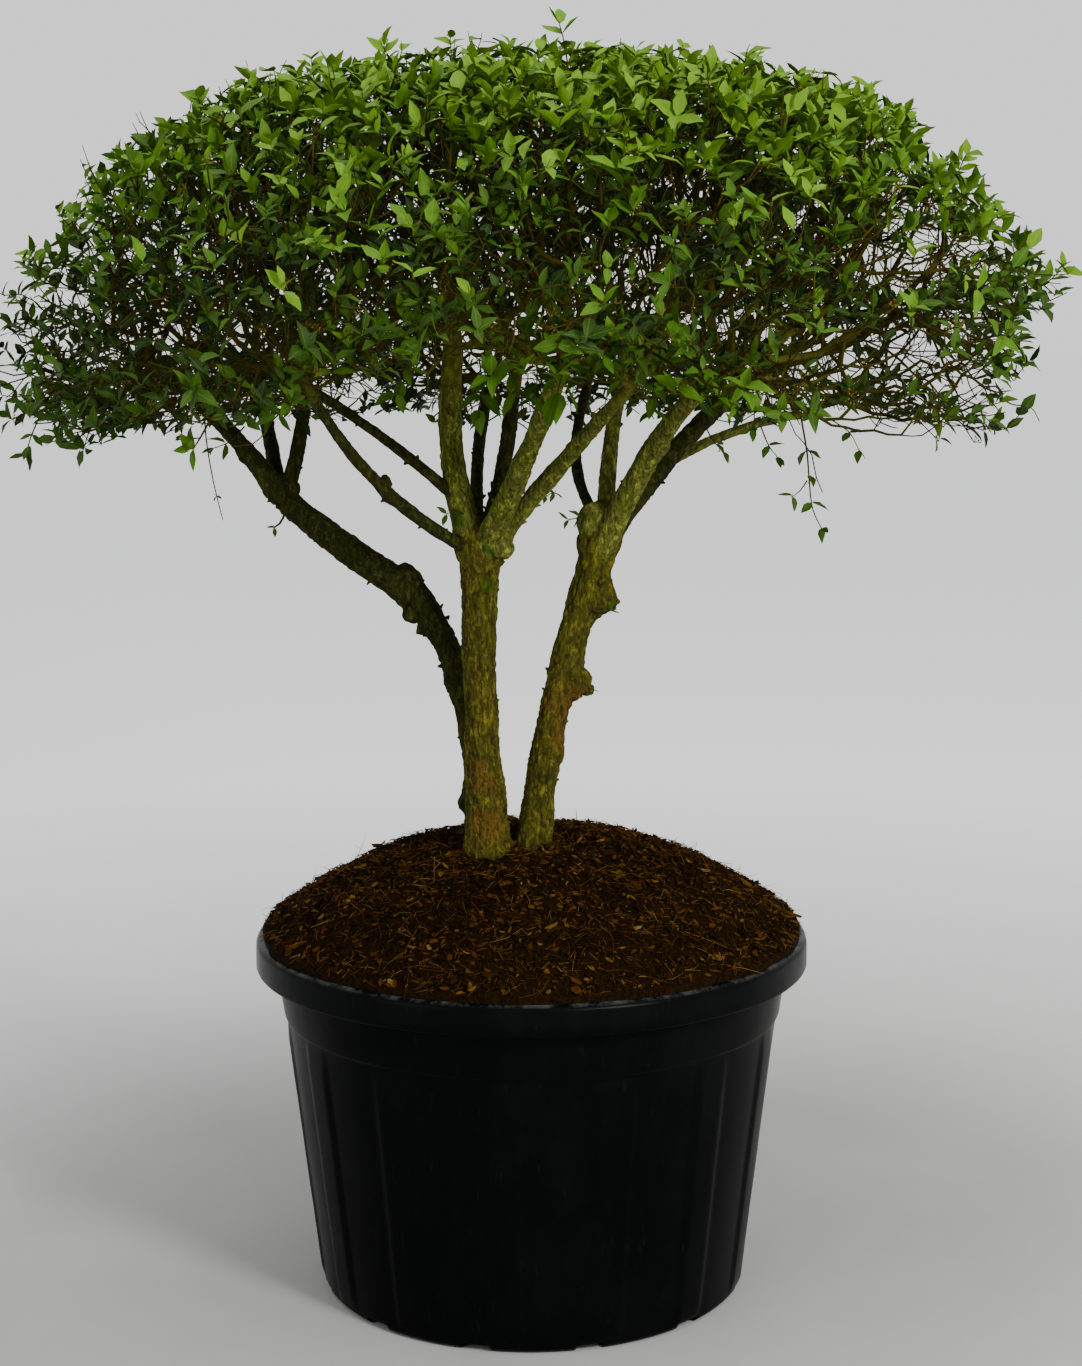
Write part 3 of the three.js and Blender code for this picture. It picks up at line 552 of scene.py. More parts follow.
def outness(p):
    """0 in the crown's middle and 1 on its surface."""
    power = CROWN.roundness
    equator = crown_equator(p[..., 0])
    spread = crown_spread(p)
    drop = (equator - p[..., 2]) / (equator - crown_underside(p))
    below = spread / (1 - CROWN.tuck * np.clip(drop, 0, 1) ** 2)
    rise = np.maximum(0, (p[..., 2] - equator) / (CROWN.top - equator))
    above = (spread**power + rise**power) ** (1 / power)
    return np.where(p[..., 2] < equator, below, above)


def dents(p):
    """How far the crown's outline is drawn in, whatever the depth."""
    away = [length_of((p - spot)[..., (0, 2)]) / wide for spot, wide, _ in DENTS]
    return sum(deep * np.exp(-(far**2)) for far, (_, _, deep) in zip(away, DENTS))


def opened(p):
    """The share of its leaves that a point's place in the picture lacks."""
    eye = np.array(CAMERA.at) / MM
    seen = eye + (p - eye) * (eye[1] / (eye[1] - p[..., 1]))[..., None]
    lacking = 0 * p[..., 0]
    for centre, radii, share in OPENINGS:
        away = length_of((seen[..., (0, 2)] - centre) / radii)
        lacking = np.maximum(lacking, share * fade(away, 0.75, 1.15))
    return lacking


def leaf_floor(p):
    """How low the finer twigs and the leaves hang: ragged, and lower between the boughs."""
    side = side_share(p)
    front = np.clip(-p[..., 1] / CROWN.half_depth, 0, 1)
    middle = HANG.brow * smooth(-p[..., 1], 0, 240) - HANG.middle
    lift = lerp(middle, HANG.side + HANG.front * front, side)
    return crown_underside(p) + lift + RAGGED.under * noise(p, RAGGED.grain, 53)


def heart_of(limb):
    compass, out = limb.heart
    angle = math.radians(compass)
    p = np.array((
        CROWN.centre_x + CROWN.half_width * out * math.cos(angle),
        CROWN.half_depth * out * math.sin(angle),
        0,
    ))
    p[2] = lerp(crown_underside(p), crown_top(p), HEART_HEIGHT)
    return p


masses = [limb for limb in limbs.values() if limb.heart]
mass_tips = np.array([limb.tip for limb in masses])
mass_ways = np.array([heart_of(limb) - limb.tip for limb in masses])


def mass_distances(p):
    """How far each point is from each mass's line, from its bough's tip to its heart."""
    reach = p[:, None] - mass_tips
    share = np.clip((reach * mass_ways).sum(-1) / (mass_ways**2).sum(-1), 0, 1)
    return length_of(reach - share[..., None] * mass_ways)


limb_shares = np.linspace(0, 1, 15)
limb_points = np.array([limb.point(limb_shares) for limb in limbs.values()])
limb_radii = np.array([limb.radius(limb_shares) for limb in limbs.values()])


def is_clear(p, mass, margin):
    """Whether points keep to their mass's space and stay off the limbs."""
    distance = mass_distances(p)
    own = distance[:, mass].copy()
    distance[:, mass] = np.inf
    room = length_of(p[:, None, None] - limb_points) - limb_radii
    room[:, list(limbs).index(masses[mass].name), limb_shares > 0.9] = np.inf
    return (distance.min(axis=1) > own + margin) & (room.min(axis=(1, 2)) > margin)


def throw_targets():
    """Where the source's own twigs are aimed."""
    draws = seeded_random(TWIG.seed)
    thrown = np.array([next(draws) for _ in range(4 * TWIG.throws)]).reshape(-1, 4)
    p = np.stack([
        CROWN.centre_x + CROWN.half_width * (2 * thrown[:, 0] - 1),
        CROWN.half_depth * (2 * thrown[:, 1] - 1),
        lerp(CROWN.hollow - CROWN.droop, CROWN.top, thrown[:, 2]),
    ], axis=1)
    low, high = TWIG.shell
    out = outness(p)
    fits = (out >= np.where(thrown[:, 3] < TWIG.inner, 0, low)) & (out <= high)
    fits &= p[:, 2] >= crown_underside(p) + TWIG.floor
    apart = lerp(TWIG.middle, TWIG.rim, crown_spread(p))
    targets = [np.array(sprig, float) for sprig in SPRIGS]
    for q, spacing in zip(p[fits], apart[fits]):
        if length_of(np.array(targets) - q).min() > spacing:
            targets.append(q)
    return np.array(targets)


def scatter(random, throws, apart, keep):
    """Points thrown at random over the crown's box that keep their distance from each other."""
    low = np.array((CROWN.centre_x - CROWN.half_width, -CROWN.half_depth, FINER_FLOOR))
    high = np.array((CROWN.centre_x + CROWN.half_width, CROWN.half_depth, CROWN.top))
    p = lerp(low, high, random.random((throws, 3)))
    p = p[keep(p)]
    boxes = {}
    chosen = []
    for x, y, z in p.tolist():
        home = (int(x // apart), int(y // apart), int(z // apart))
        near = (
            q
            for i, j, k in itertools.product((-1, 0, 1), repeat=3)
            for q in boxes.get((home[0] + i, home[1] + j, home[2] + k), ())
        )
        if all((x - a) ** 2 + (y - b) ** 2 + (z - c) ** 2 > apart**2 for a, b, c in near):
            boxes.setdefault(home, []).append((x, y, z))
            chosen.append((x, y, z))
    return np.array(chosen)


class Tree:
    """The twig points of one mass, each with its parent, its path from the bough and its course."""

    def __init__(self, room=4000):
        self.p = np.zeros((room, 3))
        self.ahead = np.zeros((room, 3))
        self.path = np.zeros(room)
        self.parent = np.full(room, -1)
        self.level = np.zeros(room, int)
        self.count = 0

    def add(self, p, parent, ahead=None, level=0):
        i = self.count
        self.p[i], self.parent[i], self.level[i] = p, parent, level
        span = p - self.p[parent]
        distance = np.linalg.norm(span)
        self.ahead[i] = span / distance if ahead is None else ahead
        self.path[i] = self.path[parent] + distance if parent >= 0 else 0
        self.count += 1
        return i

    def grow(self, targets, mass, level, margin, reach=math.inf):
        """Each target, nearest first, joins the twig point that is close to it and to the bough,
        and that it needn't turn back from."""
        order = np.argsort(length_of(targets - self.p[0]), kind="stable")
        shares = np.arange(1, 9)[:, None] / 8
        for p in targets[order]:
            n = self.count
            span = p - self.p[1:n]
            distance = length_of(span)
            turn = (span * self.ahead[1:n]).sum(axis=1) / distance
            cost = distance + TWIG.path_weight * self.path[1:n]
            cost += TWIG.back_cost * (turn < TWIG.back_turn)
            best = int(cost.argmin()) + 1
            if distance[best - 1] > reach:
                continue
            if is_clear(lerp(self.p[best], p, shares), mass, margin).all():
                self.add(p, best, level=level)

    def bent(self, step, random):
        """The same tree with stops along its spans, which sag and wander a little."""
        finer = Tree()
        place = {-1: -1}
        for i in range(self.count):
            parent = int(self.parent[i])
            if parent < 0:
                place[i] = finer.add(self.p[i], -1, self.ahead[i])
                continue
            start, end = self.p[parent], self.p[i]
            length = np.linalg.norm(end - start)
            pieces = max(1, round(length / step))
            at = place[parent]
            bow = random.normal(0, BEND.bow * length, 3) - np.array((0, 0, BEND.sag * length))
            for k in range(1, pieces + 1):
                share = k / pieces
                wander = random.normal(0, BEND.wander * length, 3) if k < pieces else 0
                p = lerp(start, end, share) + bow * math.sin(math.pi * share) + wander
                at = finer.add(p, at, level=int(self.level[i]))
            place[i] = at
        return finer

    def loads(self):
        """How many tips each point carries, and which points are tips."""
        n = self.count
        load = np.zeros(n)
        parents = self.parent[:n]
        is_tip = np.ones(n, bool)
        is_tip[parents[parents >= 0]] = False
        load[is_tip] = 1
        for i in range(n - 1, 0, -1):
            load[parents[i]] += load[i]
        return load, is_tip

    def shoots(self, load):
        """Lines of points: each runs on from its parent's point to a tip by its heaviest child."""
        children = [[] for _ in range(self.count)]
        for i in range(1, self.count):
            children[self.parent[i]].append(i)
        lines = []
        waiting = [(0, -1)]
        while waiting:
            at, origin = waiting.pop()
            line = [origin, at] if origin >= 0 else [at]
            while children[at]:
                main, *rest = sorted(children[at], key=lambda i: -load[i])
                waiting += [(i, at) for i in rest]
                line.append(main)
                at = main
            lines.append(line)
        return lines


def grow_trees():
    """One tree of twigs for each mass, first by the source's targets and then by finer ones."""
    random = np.random.default_rng(FINER_SEED)
    trees = []
    for limb in masses:
        tree = Tree()
        ahead = limb.ahead(1.0)
        tree.add(limb.tip + ahead * GAP, -1, ahead)
        tree.add(limb.tip + ahead * TWIG.stem, 0, ahead)
        trees.append(tree)
    levels = [(throw_targets(), TWIG.margin, math.inf)]
    for finer in FINER:
        low, high = finer["shell"]

        def keep(p):
            out = outness(p)
            rim = high + RAGGED.rim * noise(p, RAGGED.grain, 51) - dents(p)
            fits = (out > low) & (out < rim) & (p[:, 2] > leaf_floor(p) + finer["above"])
            return fits & (random.random(len(p)) > BARE_SHARE * opened(p))

        targets = scatter(random, finer["throws"], finer["apart"], keep)
        levels.append((targets, finer["margin"], finer["reach"]))
    for level, (targets, margin, reach) in enumerate(levels):
        owners = mass_distances(targets).argmin(axis=1)
        for mass, tree in enumerate(trees):
            tree.grow(targets[owners == mass], mass, level, margin, reach)
            if level < len(FINER):
                trees[mass] = tree.bent(FINER[level]["bend"], random)
    return [tree.bent(FINER[-1]["bend"], random) for tree in trees]


trees = grow_trees()


# Materials. Colours are linear red, green and blue, and places are in metres. A blotch says where
# it sets in and is full, then its scale, detail, upright stretch, roughness and offset.

VEIN_TONE = (0.20, 0.32, 0.02)
RUST_TONE = (0.14, 0.058, 0.010)
MOSS_TONE = (0.018, 0.070, 0.004)
TWIG_TONES = [(0.0098, 0.0082, 0.0010), (0.031, 0.0245, 0.0022)]
TWIG_BAND = (0.046, 0.040, 0.0060)
WOOD_TONES = [(0.036, 0.042, 0.0040), (0.095, 0.100, 0.0120)]
POT_TONES = [(0.0012, 0.0017, 0.0015), (0.0038, 0.0045, 0.0041)]
POT_SCUFF = (0.010, 0.011, 0.010)
# The brim's pale tone: partly wear, partly a painted highlight along the lip
POT_WEAR_AND_HIGHLIGHT = (0.050, 0.056, 0.056)
# The olive, the ochre and the dark of each bark. The shaded bark is painted shade, for the limbs that lie in
# shade, and the boughs' bark is painted light, brighter for the lit boughs.
BARK_TONES = {
    "bark_stem": ((0.064, 0.070, 0.0044), (0.084, 0.072, 0.0066), (0.010, 0.008, 0.002)),
    "bark_shaded": ((0.022, 0.028, 0.003), (0.033, 0.034, 0.005), (0.005, 0.004, 0.001)),
    "bark_bough": ((0.098, 0.122, 0.010), (0.142, 0.150, 0.022), (0.012, 0.012, 0.003)),
}
# Two tones, roughness, grain, and for the soil how strong and deep its bumps are
MULCH_TONES = {
    "soil": ((0.0026, 0.0013, 0.0003), (0.0130, 0.0060, 0.0009), 0.98, 150, 0.9, 0.003),
    "dark": ((0.0050, 0.0026, 0.0005), (0.0160, 0.0078, 0.0011), 0.95, 160),
    "red": ((0.0240, 0.0090, 0.0009), (0.0560, 0.0205, 0.0019), 0.9, 160),
    "orange": ((0.0440, 0.0220, 0.0026), (0.0960, 0.0500, 0.0070), 0.9, 160),
    "straw": ((0.0700, 0.0420, 0.0060), (0.1400, 0.0900, 0.0200), 0.85, 160),
}


class Surface:
    """A material. The inputs of its nodes take values or other nodes' outputs."""

    def __init__(self, name, roughness, specular=0.5):
        self.material = bpy.data.materials.new(name)
        self.material.use_nodes = True
        self.nodes = self.material.node_tree.nodes
        self.shader = self.nodes["Principled BSDF"]
        self.fill(self.shader, {"Roughness": roughness, "Specular IOR Level": specular})
        self.place = self.new("TexCoord").outputs["Object"]

    def new(self, kind):
        return self.nodes.new("ShaderNode" + kind)

    def fill(self, node, inputs):
        for socket, value in inputs.items():
            if isinstance(value, bpy.types.NodeSocket):
                self.material.node_tree.links.new(value, node.inputs[socket])
            else:
                node.inputs[socket].default_value = value
        return node.outputs

    def noise(self, scale, detail=3.0, upright=1, roughness=0.55, offset=0.0):
        """Noise that is drawn out upwards where upright is under 1."""
        moved = {"Vector": self.place, "Scale": (1, 1, upright), "Location": (offset, offset, offset)}
        place = self.fill(self.new("Mapping"), moved)["Vector"]
        grain = {"Vector": place, "Scale": scale, "Detail": detail, "Roughness": roughness}
        return self.fill(self.new("TexNoise"), grain)["Fac"]

    def spread(self, value, low, high, to_low=0.0, to_high=1.0):
        ends = {"Value": value, "From Min": low, "From Max": high, "To Min": to_low, "To Max": to_high}
        return self.fill(self.new("MapRange"), ends)["Result"]

    def blotch(self, low, high, *grain):
        """Noise that sets in at low and is full at high."""
        return self.spread(self.noise(*grain), low, high)

    def value(self, name):
        """A number that the mesh gives to its points."""
        node = self.new("Attribute")
        node.attribute_name = name
        return node.outputs["Fac"]

    def parts(self, vector):
        return self.fill(self.new("SeparateXYZ"), {"Vector": vector})

    def math(self, kind, a, b=0):
        node = self.new("Math")
        node.operation = kind
        return self.fill(node, {0: a, 1: b})["Value"]

    def times(self, a, b):
        return self.math("MULTIPLY", a, b)

    def mix(self, share, a, b):
        node = self.new("Mix")
        node.data_type = "RGBA"
        a, b = (c if isinstance(c, bpy.types.NodeSocket) else (*c, 1) for c in (a, b))
        return self.fill(node, {"Factor": share, 6: a, 7: b})[2]

    def over(self, body, tone, where, strength):
        """A body's colour with a tone laid over it where a blotch is."""
        return self.mix(self.times(where, strength), body, tone)

    def finished(self, colour, height, strength, distance):
        relief = {"Height": height, "Strength": strength, "Distance": distance}
        normal = self.fill(self.new("Bump"), relief)["Normal"]
        self.fill(self.shader, {"Base Color": colour, "Normal": normal})
        return self.material


def shade(colour, factor):
    return tuple(channel * factor for channel in colour)


def leaf_material(index, tint):
    """A leaf's blade with a paler rib, arching side veins and slightly blotched green."""
    surface = Surface(f"leaf_{index}", 0.55, 0.07)
    uv = surface.new("UVMap")
    uv.uv_map = "leaf"
    place = surface.parts(uv.outputs["UV"])
    off_rib = surface.math("ABSOLUTE", surface.math("SUBTRACT", place["Y"], 0.5))
    rib = surface.spread(off_rib, 0.02, 0.07, 1, 0)
    arch = surface.math("SUBTRACT", place["X"], surface.times(off_rib, 0.7))
    vein = surface.spread(surface.math("SINE", surface.times(arch, 38)), 0.72, 1.0, 0, 0.55)
    lines = surface.math("MAXIMUM", rib, vein)
    blade = surface.mix(surface.blotch(0.3, 0.7, 55, 2), shade(tint, 0.78), shade(tint, 1.2))
    pale = tuple(lerp(channel, light, 0.25) for channel, light in zip(tint, VEIN_TONE))
    body = surface.over(blade, pale, lines, 0.5)
    return surface.finished(body, surface.times(lines, -1), 0.35, 0.0008)


def bark_material(name, olive, ochre, dark):
    """Scaly bark: olive and ochre in fine upright streaks, flecked with brown, dark in the cracks,
    with moss and rust where the mesh says so."""
    surface = Surface(name, 0.9, 0.08)
    body = surface.mix(surface.blotch(0.38, 0.62, 16, 4, 0.5), olive, ochre)
    layers = [
        (shade(ochre, 0.3), surface.blotch(0.42, 0.56, 135, 5, 0.3, 0.7), 0.72),
        (shade(ochre, 2.3), surface.blotch(0.52, 0.62, 95, 5, 0.45, 0.75, 7.0), 0.65),
        (RUST_TONE, surface.value("rust"), 0.4),
        (MOSS_TONE, surface.value("moss"), 0.8),
        (shade(dark, 1.6), surface.blotch(0.5, 0.58, 230, 5, 0.4, 0.75, 3.0), 0.62),
    ]
    for layer in layers:
        body = surface.over(body, *layer)
    # Dark where the mesh's relief is low: in the cracks, and in the painted shade of the holes
    body = surface.mix(surface.spread(surface.value("relief"), -0.15, 0.45, 1, 0), body, dark)
    grain = surface.math("ADD", surface.noise(380, 5, 0.3, 0.7), surface.noise(1100, 2))
    return surface.finished(body, grain, 1.0, 0.0026)


def twig_material():
    """Brown twigs, olive like the boughs where the mesh says that they are still wood. The olive is strong
    by the lit boughs, to match their painted light, and weaker by the shaded ones, as painted shade.
    """
    surface = Surface("twig_bark", 0.9, 0.04)
    brown = surface.mix(surface.blotch(0.38, 0.62, 18, 3), *TWIG_TONES)
    wood = surface.mix(surface.blotch(0.4, 0.6, 110, 4, 0.5, 0.7), *WOOD_TONES)
    body = surface.mix(surface.value("wood"), brown, wood)
    body = surface.over(body, TWIG_BAND, surface.blotch(0.52, 0.75, 240, 2), 0.7)
    return surface.finished(body, surface.noise(700, 2), 0.4, 0.0005)


def plain_material(name, dark, light, roughness, grain, bump=0.4, depth=0.0006):
    """Two tones blotched together by noise, with a fine bump."""
    surface = Surface(name, roughness, 0.03)
    body = surface.mix(surface.blotch(0.3, 0.7, grain), dark, light)
    return surface.finished(body, surface.noise(grain * 4), bump, depth)


def pot_material():
    """Black moulded plastic, satin, with dust and scuffs that dull it, and pale on its brim with wear and a
    painted highlight.
    """
    surface = Surface("pot_plastic", 0.31, 0.22)
    dust = surface.blotch(0.45, 0.75, 9, 6, 0.6, 0.65)
    scuff = surface.blotch(0.6, 0.74, 70, 6, 0.25, 0.7)
    # The pale brim is partly wear and partly a painted highlight along the lip's top edge.
    brim = surface.spread(surface.parts(surface.place)["Z"], 0.5465, 0.5505)
    wear_and_highlight = surface.times(brim, surface.blotch(0.44, 0.6, 26, 6, 1, 0.7))
    body = surface.mix(surface.times(dust, 0.5), *POT_TONES)
    body = surface.over(surface.over(body, POT_SCUFF, scuff, 0.3), POT_WEAR_AND_HIGHLIGHT, wear_and_highlight, 0.8)
    rough = surface.math("ADD", surface.spread(dust, 0, 1, 0.27, 0.38), surface.times(scuff, 0.12))
    surface.fill(surface.shader, {"IOR": 1.15, "Roughness": rough})
    return surface.finished(body, surface.noise(900), 0.12, 0.0004)


bark_low, bark_shaded, bark_painted_lit = (bark_material(name, *tones) for name, tones in BARK_TONES.items())
twig_brown = twig_material()
shoot_green = plain_material("young_shoot", (0.030, 0.050, 0.004), (0.070, 0.095, 0.008), 0.6, 60)
flower_spent = plain_material("spent_flower", (0.048, 0.032, 0.005), (0.125, 0.092, 0.015), 0.8, 120)
leaf_materials = [leaf_material(i, tint) for i, tint in enumerate(LEAF_TINTS)]
pot_black = pot_material()
mulch_materials = [plain_material(f"mulch_{tone}", *looks) for tone, looks in MULCH_TONES.items()]


# Stems and boughs

# The sizes of the bark's plates, flakes, ridges and lumps, and how far they stand out
BARK = Sizes(
    coarse_from=26, crack=0.22, plate=(6, 6, 17), plate_out=2.4, flake=(3.6, 3.6, 8), flake_out=1.7,
    ridge=(8, 8, 60), ridge_out=1.3, lumps=(34, 34, 55), lumps_out=2.2, knots_out=5.0, pits_out=3.0,
)
# Stubs of cut twigs: where along a limb they sit, their sizes and how deep they start in it
SPUR = Sizes(place=(0.06, 0.97), length=(3, 8), radius=(1.6, 3.2), sunk=2.0, sides=6)
# How finely a burl is drawn, its grain as a share of its size, and its relief
BURL = Sizes(rings=26, columns=38, grain=0.42, lumps=0.15, bumps=0.11, pits=0.9)
# How much thicker a bough starts, how soon that fades, and how deep a stem stands in the mulch
COLLAR = Sizes(swell=0.22, fade=16, sunk=20)
# A step of a tube that is longer than any span that stays straight
STRAIGHT = 60


def bark_relief(limb, share, angle, radius):
    """How far the bark stands out of the plain limb, and its height from 0, a crack, to 1."""
    seed = 100 * list(limbs).index(limb.name)
    q = np.stack([np.cos(angle) * radius, np.sin(angle) * radius, share * limb.length], axis=-1)
    coarse = np.clip(limb.radii[0] / BARK.coarse_from, 0.35, 1)
    own, edge = plates(q, np.array(BARK.plate) * lerp(0.6, 1, coarse), seed)
    flake, _ = plates(q, np.array(BARK.flake) * lerp(0.6, 1, coarse), seed + 3)
    ridge = noise(q, BARK.ridge, seed + 11)
    rough = smooth(limb.knob(share, angle), 1.0, 7.0)
    knots = BARK.knots_out * layered(q, 15, seed + 17) + BARK.pits_out * noise(q, 5, seed + 19)
    lumps = BARK.lumps_out * layered(q, BARK.lumps, seed + 13, 2)
    height = smooth(edge, 0.0, BARK.crack) * (0.45 + 0.55 * own)
    out = BARK.plate_out * height + BARK.flake_out * flake + BARK.ridge_out * ridge
    out = coarse * (out + lumps - BARK.plate_out) + rough * knots
    return out, np.clip(height + 0.25 * ridge + 0.2 * flake, 0, 1)


def marked(points, places):
    """How strongly points lie in any of the places, from 0 to 1, with ragged edges."""
    total = np.zeros(len(points))
    for spot, reach in places:
        away = length_of(points - np.array(spot)) / reach
        total = np.maximum(total, fade(away + 0.35 * layered(points, 11, 71), 0.55, 1.1))
    return total


def add_spurs(heap, limb, count, random):
    """Stubs of cut twigs and old buds on a limb."""
    for _ in range(count):
        share, angle = random.uniform(*SPUR.place), random.uniform(0, 2 * math.pi)
        foot, way = limb.surface(np.array([share]), np.array([angle]), -SPUR.sunk)
        lean = unit(way[0] + 0.5 * limb.ahead(share) + random.normal(0, 0.25, 3))
        length, radius = random.uniform(*SPUR.length), random.uniform(*SPUR.radius)
        stops = foot + lean * length * np.array([[0], [0.6], [1]])
        heap.add(*tube(stops, radius * np.array([1.7, 1.1, 0.8]), SPUR.sides, STRAIGHT))


def add_burl(heap, middle, radii, seed):
    """A knobbly swelling of the wood."""
    tilt = np.linspace(0, math.pi, BURL.rings)[:, None] + np.zeros(BURL.columns)
    turn = around(BURL.columns) + np.zeros((BURL.rings, 1))
    way = np.stack([np.sin(tilt) * np.cos(turn), np.sin(tilt) * np.sin(turn), np.cos(tilt)], axis=-1)
    way = way.reshape(-1, 3)
    plain = way * np.array(radii, float)
    least = min(radii)
    grain = BURL.grain * least
    bumps = BURL.lumps * least * layered(plain, 2.4 * grain, seed)
    bumps = bumps + BURL.bumps * least * noise(plain, grain, seed + 5)
    bumps = bumps + BURL.pits * noise(plain, 3.5, seed + 9)
    points = np.array(middle) + plain + bumps[:, None] * way
    heap.add(points, grid_faces(BURL.rings, BURL.columns))


def add_limb(heap, limb, step):
    """A limb with its bark's relief, and each point's height. A stem's foot is sunk in the mulch."""
    rings = int(limb.length / (step * 1.15)) + 2
    columns = int(2 * math.pi * max(limb.radii) / step)
    first = -COLLAR.sunk / limb.length if limb.stands else 0
    share = (np.linspace(first, 1, rings)[:, None] + np.zeros(columns)).ravel()
    angle = (around(columns) + np.zeros((rings, 1))).ravel()
    inside = np.clip(share, 0, 1)
    out, height = bark_relief(limb, inside, angle, limb.radius(inside, angle))
    swell = 0 if limb.stands else COLLAR.swell * limb.radii[0]
    points, _ = limb.surface(inside, angle, out + swell * np.exp(-share * limb.length / COLLAR.fade))
    points[:, 2] += np.minimum(0, share) * limb.length
    end = limb.tip + limb.ahead(1.0) * 0.5 * limb.radii[1]
    last = (rings - 1) * columns
    heap.add(np.vstack([points, end]), grid_faces(rings, columns), fan_faces(last, columns, len(points)))
    return np.append(height, 1)


def add_limbs(label, names, step, spurs, material):
    chosen = [limbs[name] for name in names]
    heap = Heap()
    heights = np.concatenate([add_limb(heap, limb, step) for limb in chosen])
    random = np.random.default_rng(len(label))
    for limb in chosen:
        add_spurs(heap, limb, spurs, random)
    for seed, (middle, radii) in enumerate(BURLS, 300):
        if nearest_limb(middle) in names:
            add_burl(heap, middle, radii, seed)
    points = np.concatenate(heap.points)
    relief = np.append(heights, np.full(len(points) - len(heights), 0.4))
    # At the holes the bark darkens as in its cracks: painted shade of holes that the mesh doesn't have
    marks = {
        "relief": relief * (1 - marked(points, HOLE_SHADE_SPOTS)),
        "moss": marked(points, MOSS),
        "rust": marked(points, RUST),
    }
    heap.piece(label, [material], "bark", names, values=marks)


def nearest_limb(p):
    """The name of the limb whose middle line passes nearest to a point."""
    shares = np.linspace(0, 1, 60)
    return min(limbs, key=lambda name: length_of(limbs[name].point(shares) - p).min())


# The lit boughs get the boughs' bark, which is painted light. The other boughs and the left stems get the
# shaded bark, which is painted shade.
LIT_BOUGHS = ["upright", "front", "front_right", "right_front", "right_back", "right_top"]
lit = [f"bough_{side}" for side in LIT_BOUGHS]
shaded = [limb.name for limb in masses if limb.name not in lit]
add_limbs("stems", ["middle_stem", "right_stem"], 2.3, 14, bark_low)
add_limbs("stems_left", ["left_stem", "left_stem_upper"], 2.4, 12, bark_shaded)
add_limbs("boughs", lit, 3.5, 6, bark_painted_lit)
add_limbs("boughs_shaded", shaded, 3.8, 6, bark_shaded)


# Twigs

# How thick a mass's first twig is beside its bough's tip, and how deep it starts in it
THICKEST = 0.95
TWIG_SUNK = 8
# The sides of a twig by its least radius
TWIG_SIDES = [(5, 8), (2.6, 6), (1.5, 4), (0, 3)]
# How strong the bough's bark is on a shaded bough's twigs, as painted shade, and how far from its tip it
# fades
WOOD = Sizes(shaded=0.35, fade=(30, 260))
# What adds to a spray's light: its place in the shell, its height and hanging in front, less the
# shade on the left, and how blotchy it is
LIGHT = Sizes(shell=0.35, high=0.7, hanging=0.27, left=0.22, blotch=0.13)


def add_tree(heap, tree, limb):
    load, _ = tree.loads()
    growth = math.log(THICKEST * limb.radii[1] / TWIG_TIP) / math.log(load[0])
    radii = TWIG_TIP * load**growth
    for line in tree.shoots(load):
        stops = tree.p[line]
        if line[0] == 0:
            stops = np.vstack([limb.tip - limb.ahead(1.0) * TWIG_SUNK, stops])
            line = [0, *line]
        thick = radii[line].copy()
        if line[0] != 0:
            thick[0] = thick[1]
        sides = next(sides for least, sides in TWIG_SIDES if thick.max() > least)
        thick[-1] *= 0.8
        heap.add(*tube(stops, thick, sides, TWIG_STEP))


def wood_share_with_painted_shade(p, members):
    """How much the twigs' bark is still like their bough's, by the distance from its tip, and less by the
    shaded boughs, as painted shade.
    """
    shares = [
        (1.0 if limb.name in lit else WOOD.shaded) * fade(length_of(p - limb.tip), *WOOD.fade)
        for limb in members
    ]
    return np.max(shares, axis=0)


def rise(p):
    """How high a point lies between the crown's underside, 0, and its top, 1."""
    under = crown_underside(p)
    return np.clip((p[:, 2] - under) / (crown_top(p) - under), 0, 1)


def spray_light(p):
    """How sunlit a spray's place is, from 0 deep inside to 1 on top."""
    up = rise(p)
    shell = smooth(outness(p), 0.5, 0.95)
    sunlit = LIGHT.shell * shell + LIGHT.high * smooth(up, 0.5, 1.0) * lerp(0.3, 1.0, shell)
    sunlit -= LIGHT.left * smooth(-p[:, 0], 100, 600) * smooth(up, 0.2, 0.6)
    hanging = fade(up, 0.1, 0.45) * fade(np.abs(p[:, 0]), 200, 420)
    sunlit += LIGHT.hanging * hanging * smooth(-p[:, 1], 0, 350)
    return np.clip(sunlit + LIGHT.blotch * noise(p, 75, 61), 0, 1)


# Leaves

STATIONS = np.array([0.2, 0.5, 0.8])
HALF_WIDTHS = np.array([0.74, 1.0, 0.5])


def leaf_template():
    """Corners of a leaf as (along, across, petiole) shares, and its faces: a petiole, three
    stations across the blade and a tip."""
    corners = [(0, -1, 1), (0, 1, 1), (0, 0, 0)]
    corners += [(s, side, 0) for s in STATIONS for side in (-1, 0, 1)]
    corners.append((1, 0, 0))
    rows = 3 + 3 * np.arange(len(STATIONS) - 1)
    left = np.stack([rows, rows + 3, rows + 4, rows + 1], axis=1)
    tip = len(corners) - 1
    triangles = np.array([(0, 2, 1), (2, 3, 4), (2, 4, 5), (tip - 3, tip, tip - 2), (tip - 2, tip, tip - 1)])
    return np.array(corners, float), [np.vstack([left, left + 1]), triangles]


TEMPLATE, LEAF_FACES = leaf_template()
STATION_OF = np.concatenate([[0] * 3, np.repeat(STATIONS, 3), [1.0]])
WIDTH_OF = np.concatenate([[0] * 3, np.repeat(HALF_WIDTHS, 3), [0.0]])


